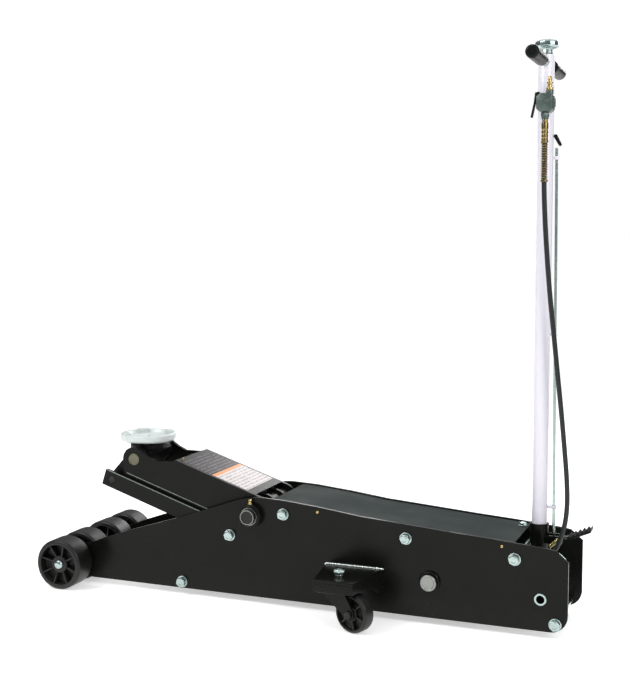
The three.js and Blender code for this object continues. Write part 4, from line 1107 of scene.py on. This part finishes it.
# %% Crossbar, grips and knob
BAR_Z = 1484
piece("crossbar_plated", [rod(10.9, -200, 200, at(HANDLE_X, 0, BAR_Z), "Y", 40, 1)], zinc_plate, "handle",
      ["handle_crossbar"])
for side, word in SIDES:
    sleeve = [(11.3, 70), (15.5, 70), (17.4, 72.5), (17.4, 198), (15.6, 203), (11, 205), (0, 205), (0, 201.5),
              (11.3, 201.5), (11.3, 70)]
    parts = [turned([(r, side * y) for r, y in sleeve], at(HANDLE_X, 0, BAR_Z), "Y", 48, 1.6)]
    piece(f"grip_{word}_moulded", parts, grip_black, "handle", [f"grip_{word}"])
piece("release_rod_turned", [rod(4.9, 150, 1514, handle_line, "Z", 24)], bare_steel, "release_control",
      ["release_rod"])
knob = [(5.4, 1506.2), (14.5, 1506.2), (16.8, 1508), (15.2, 1516), (16.4, 1521), (27, 1523), (30.2, 1526),
        (30.2, 1536.5), (27, 1540.4), (20, 1540.9), (18, 1539.6), (0, 1539.6)]
knob_parts = [turned(knob + [(0, 1514.6), (5.4, 1514.6), (5.4, 1506.2)], handle_line, "Z", 14, 0.9)]
piece("knob_plated", knob_parts, zinc_plate, "release_control", ["release_knob"], smooth=16)

# %% [markdown]
# ## Air valve
# A die-cast body clamped to the tube, a barbed brass plug on top for the shop's air line, a black trigger
# in front and, below, the crimped brass ferrule and the spring that guards the hose.

# %% Valve body and trigger
body_outline = [(1359, 1362), (1367, 1354), (1392, 1354), *arc(1392, 1363, 9, -90, 0, 6), (1401, 1396),
                (1397, 1400), (1369, 1401), (1359, 1393)]
valve_parts = [side_cut(body_outline, -61.8, -23.4, 2.6)]
valve_parts.append(turned([(12.5, -60), (12.5, -61.9), (8, -61.9), (0, -61.9), (0, -60), (12.5, -60)],
                          at(1386, 0, 1380), "Y", 40, 0.6))
PLUG_X = 1391
hose_axis = at(HOSE_X, HOSE_Y, 0)
valve_parts.append(rod(9.2, 1392, 1408.1, at(PLUG_X, HOSE_Y, 0), "Z", 32, 1))
valve_parts.append(rod(9.4, 1336.2, 1357, hose_axis, "Z", 32, 1))
valve_parts.append(rod(11.5, 1343, 1351, hose_axis, "Z", 6, 0.8))
clamp_ring = hoop(20.8, 24.4, 1371.2, 1392.8)
valve_parts.append(turned(clamp_ring, handle_line, "Z", 56, 0.8))
piece("valve_casting", valve_parts, valve_grey, "handle", ["valve_body"])
trigger_outline = [(1367, 1401), (1364, 1406), (1354, 1404), (1351, 1378), (1343, 1341), (1348, 1340),
                   (1357.5, 1386), (1366, 1395)]
trigger_parts = [side_cut(trigger_outline, -50.8, -39.2, 1.4),
                 rod(2.4, -53, -37, at(1362, 0, 1398), "Y", 20, 0.5)]
piece("trigger_moulded", trigger_parts, cast_black, "air_lever", ["air_lever"])

# %% Plug, ferrule and spring guard
plug = [(0, 0.2), (8.8, 0.2), (8.8, 6.6), (5.6, 7.8), (5.6, 15), (7.4, 16.4), (7.4, 21), (4.6, 22.6),
        (4.6, 28), (5.6, 30), (4.2, 35.8), (2.6, 35.8), (2.6, 24), (0, 24)]
plug_foot = at(PLUG_X, HOSE_Y, 1408.2)
plug_parts = [turned(plug, plug_foot, "Z", 36, 0.5), rod(8.9, 0.3, 6.4, plug_foot, "Z", 6, 0.6)]
piece("plug_turned", plug_parts, turned_brass, "handle", ["air_plug"])
ferrule = [(0, 1280.2)]
for z in (1280.2, 1290, 1300):
    ferrule += [(8.8, z), (8.8, z + 5), (7.9, z + 6.5), (7.9, z + 8)]
ferrule += [(8.8, 1311), (8.8, 1326), (6.8, 1328), (6.8, 1335.6), (0, 1335.6)]
piece("ferrule_crimped", [turned(ferrule, hose_axis, "Z", 40, 0.5)], aged_brass, "handle",
      ["hose_ferrule"])
guard_wire = helix(at(HOSE_X, HOSE_Y, 1177.5), at(HOSE_X, HOSE_Y, 1278.5), 8.1, 16, 18)
guard_parts = [swept(guard_wire, 1.25, 8)]
for z in (1176.4, 1275.6):
    guard_parts.append(turned(hoop(7.0, 9.4, z, z + 3.8), hose_axis, "Z", 32, 0.4))
piece("guard_wound", guard_parts, aged_brass, "handle", ["hose_guard"])

# %% [markdown]
# ## Handle latch
# A short lever near the top lifts a rod, and the pedal at the foot lifts the same rod from below. The
# pedal's tread is saw-toothed so that a boot doesn't slip.

# %% Lock lever and rod
lever_parts = [side_cut(capsule(1400, 1296, 5, 1412, 1274, 4), -3.4, 3.4, 1),
               rod(2.2, -7, 7, at(1400, 0, 1296), "Y", 16, 0.4)]
piece("lock_lever_bent", lever_parts, cast_black, "lock_lever", ["lock_lever"])
lock_rod = swept([rod_at(243.5), rod_at(1265.8)], 3.9, 24)
piece("lock_rod_plated", [lock_rod], zinc_plate, "lock_rod", ["lock_rod"])

# %% Pedal and spring
pedal_arm = [(1406, 234), (1407, 240.4), (1411, 242.8), (1414, 242.8), (1420, 240.4), (1436, 243.6),
             (1452, 245), (1460, 240), (1436, 229), (1420, 229)]
tread_start, tread_tip, teeth = 1444, 1512, 6
pitch = (tread_tip - tread_start) / teeth


def slope(x):
    return 239 + (x - tread_start) * 0.44


tread = [(tread_start, slope(tread_start) - 5), (tread_tip, slope(tread_tip) - 5)]
for i in reversed(range(teeth)):
    x = tread_start + pitch * i
    tread += [(x + pitch, slope(x + pitch) + 7.8), (x + pitch * 0.45, slope(x) + 3)]
tread.append((tread_start, slope(tread_start) + 3))
pedal_parts = [side_cut(pedal_arm, -8.8, 8.8, 1.2), side_cut(tread, -23.8, 23.8, 0.8),
               rod(4.9, -21, 21, at(1428, 0, 236), "Y", 24, 0.8)]
piece("pedal_forged", pedal_parts, cast_black, "latch_pedal", ["latch_pedal"])
spring_middle = at(1418, -29, 230)
spring_lean = math.radians(48)
spring_way = Vector((math.sin(spring_lean), 0, math.cos(spring_lean))) * 16 * MM
spring_wire = helix(spring_middle - spring_way, spring_middle + spring_way, 4.4, 8)
piece("latch_spring_wire", [swept(spring_wire, 1.0, 8)], yellow_wire, "handle", ["latch_spring"])
print("handle and latch in place")
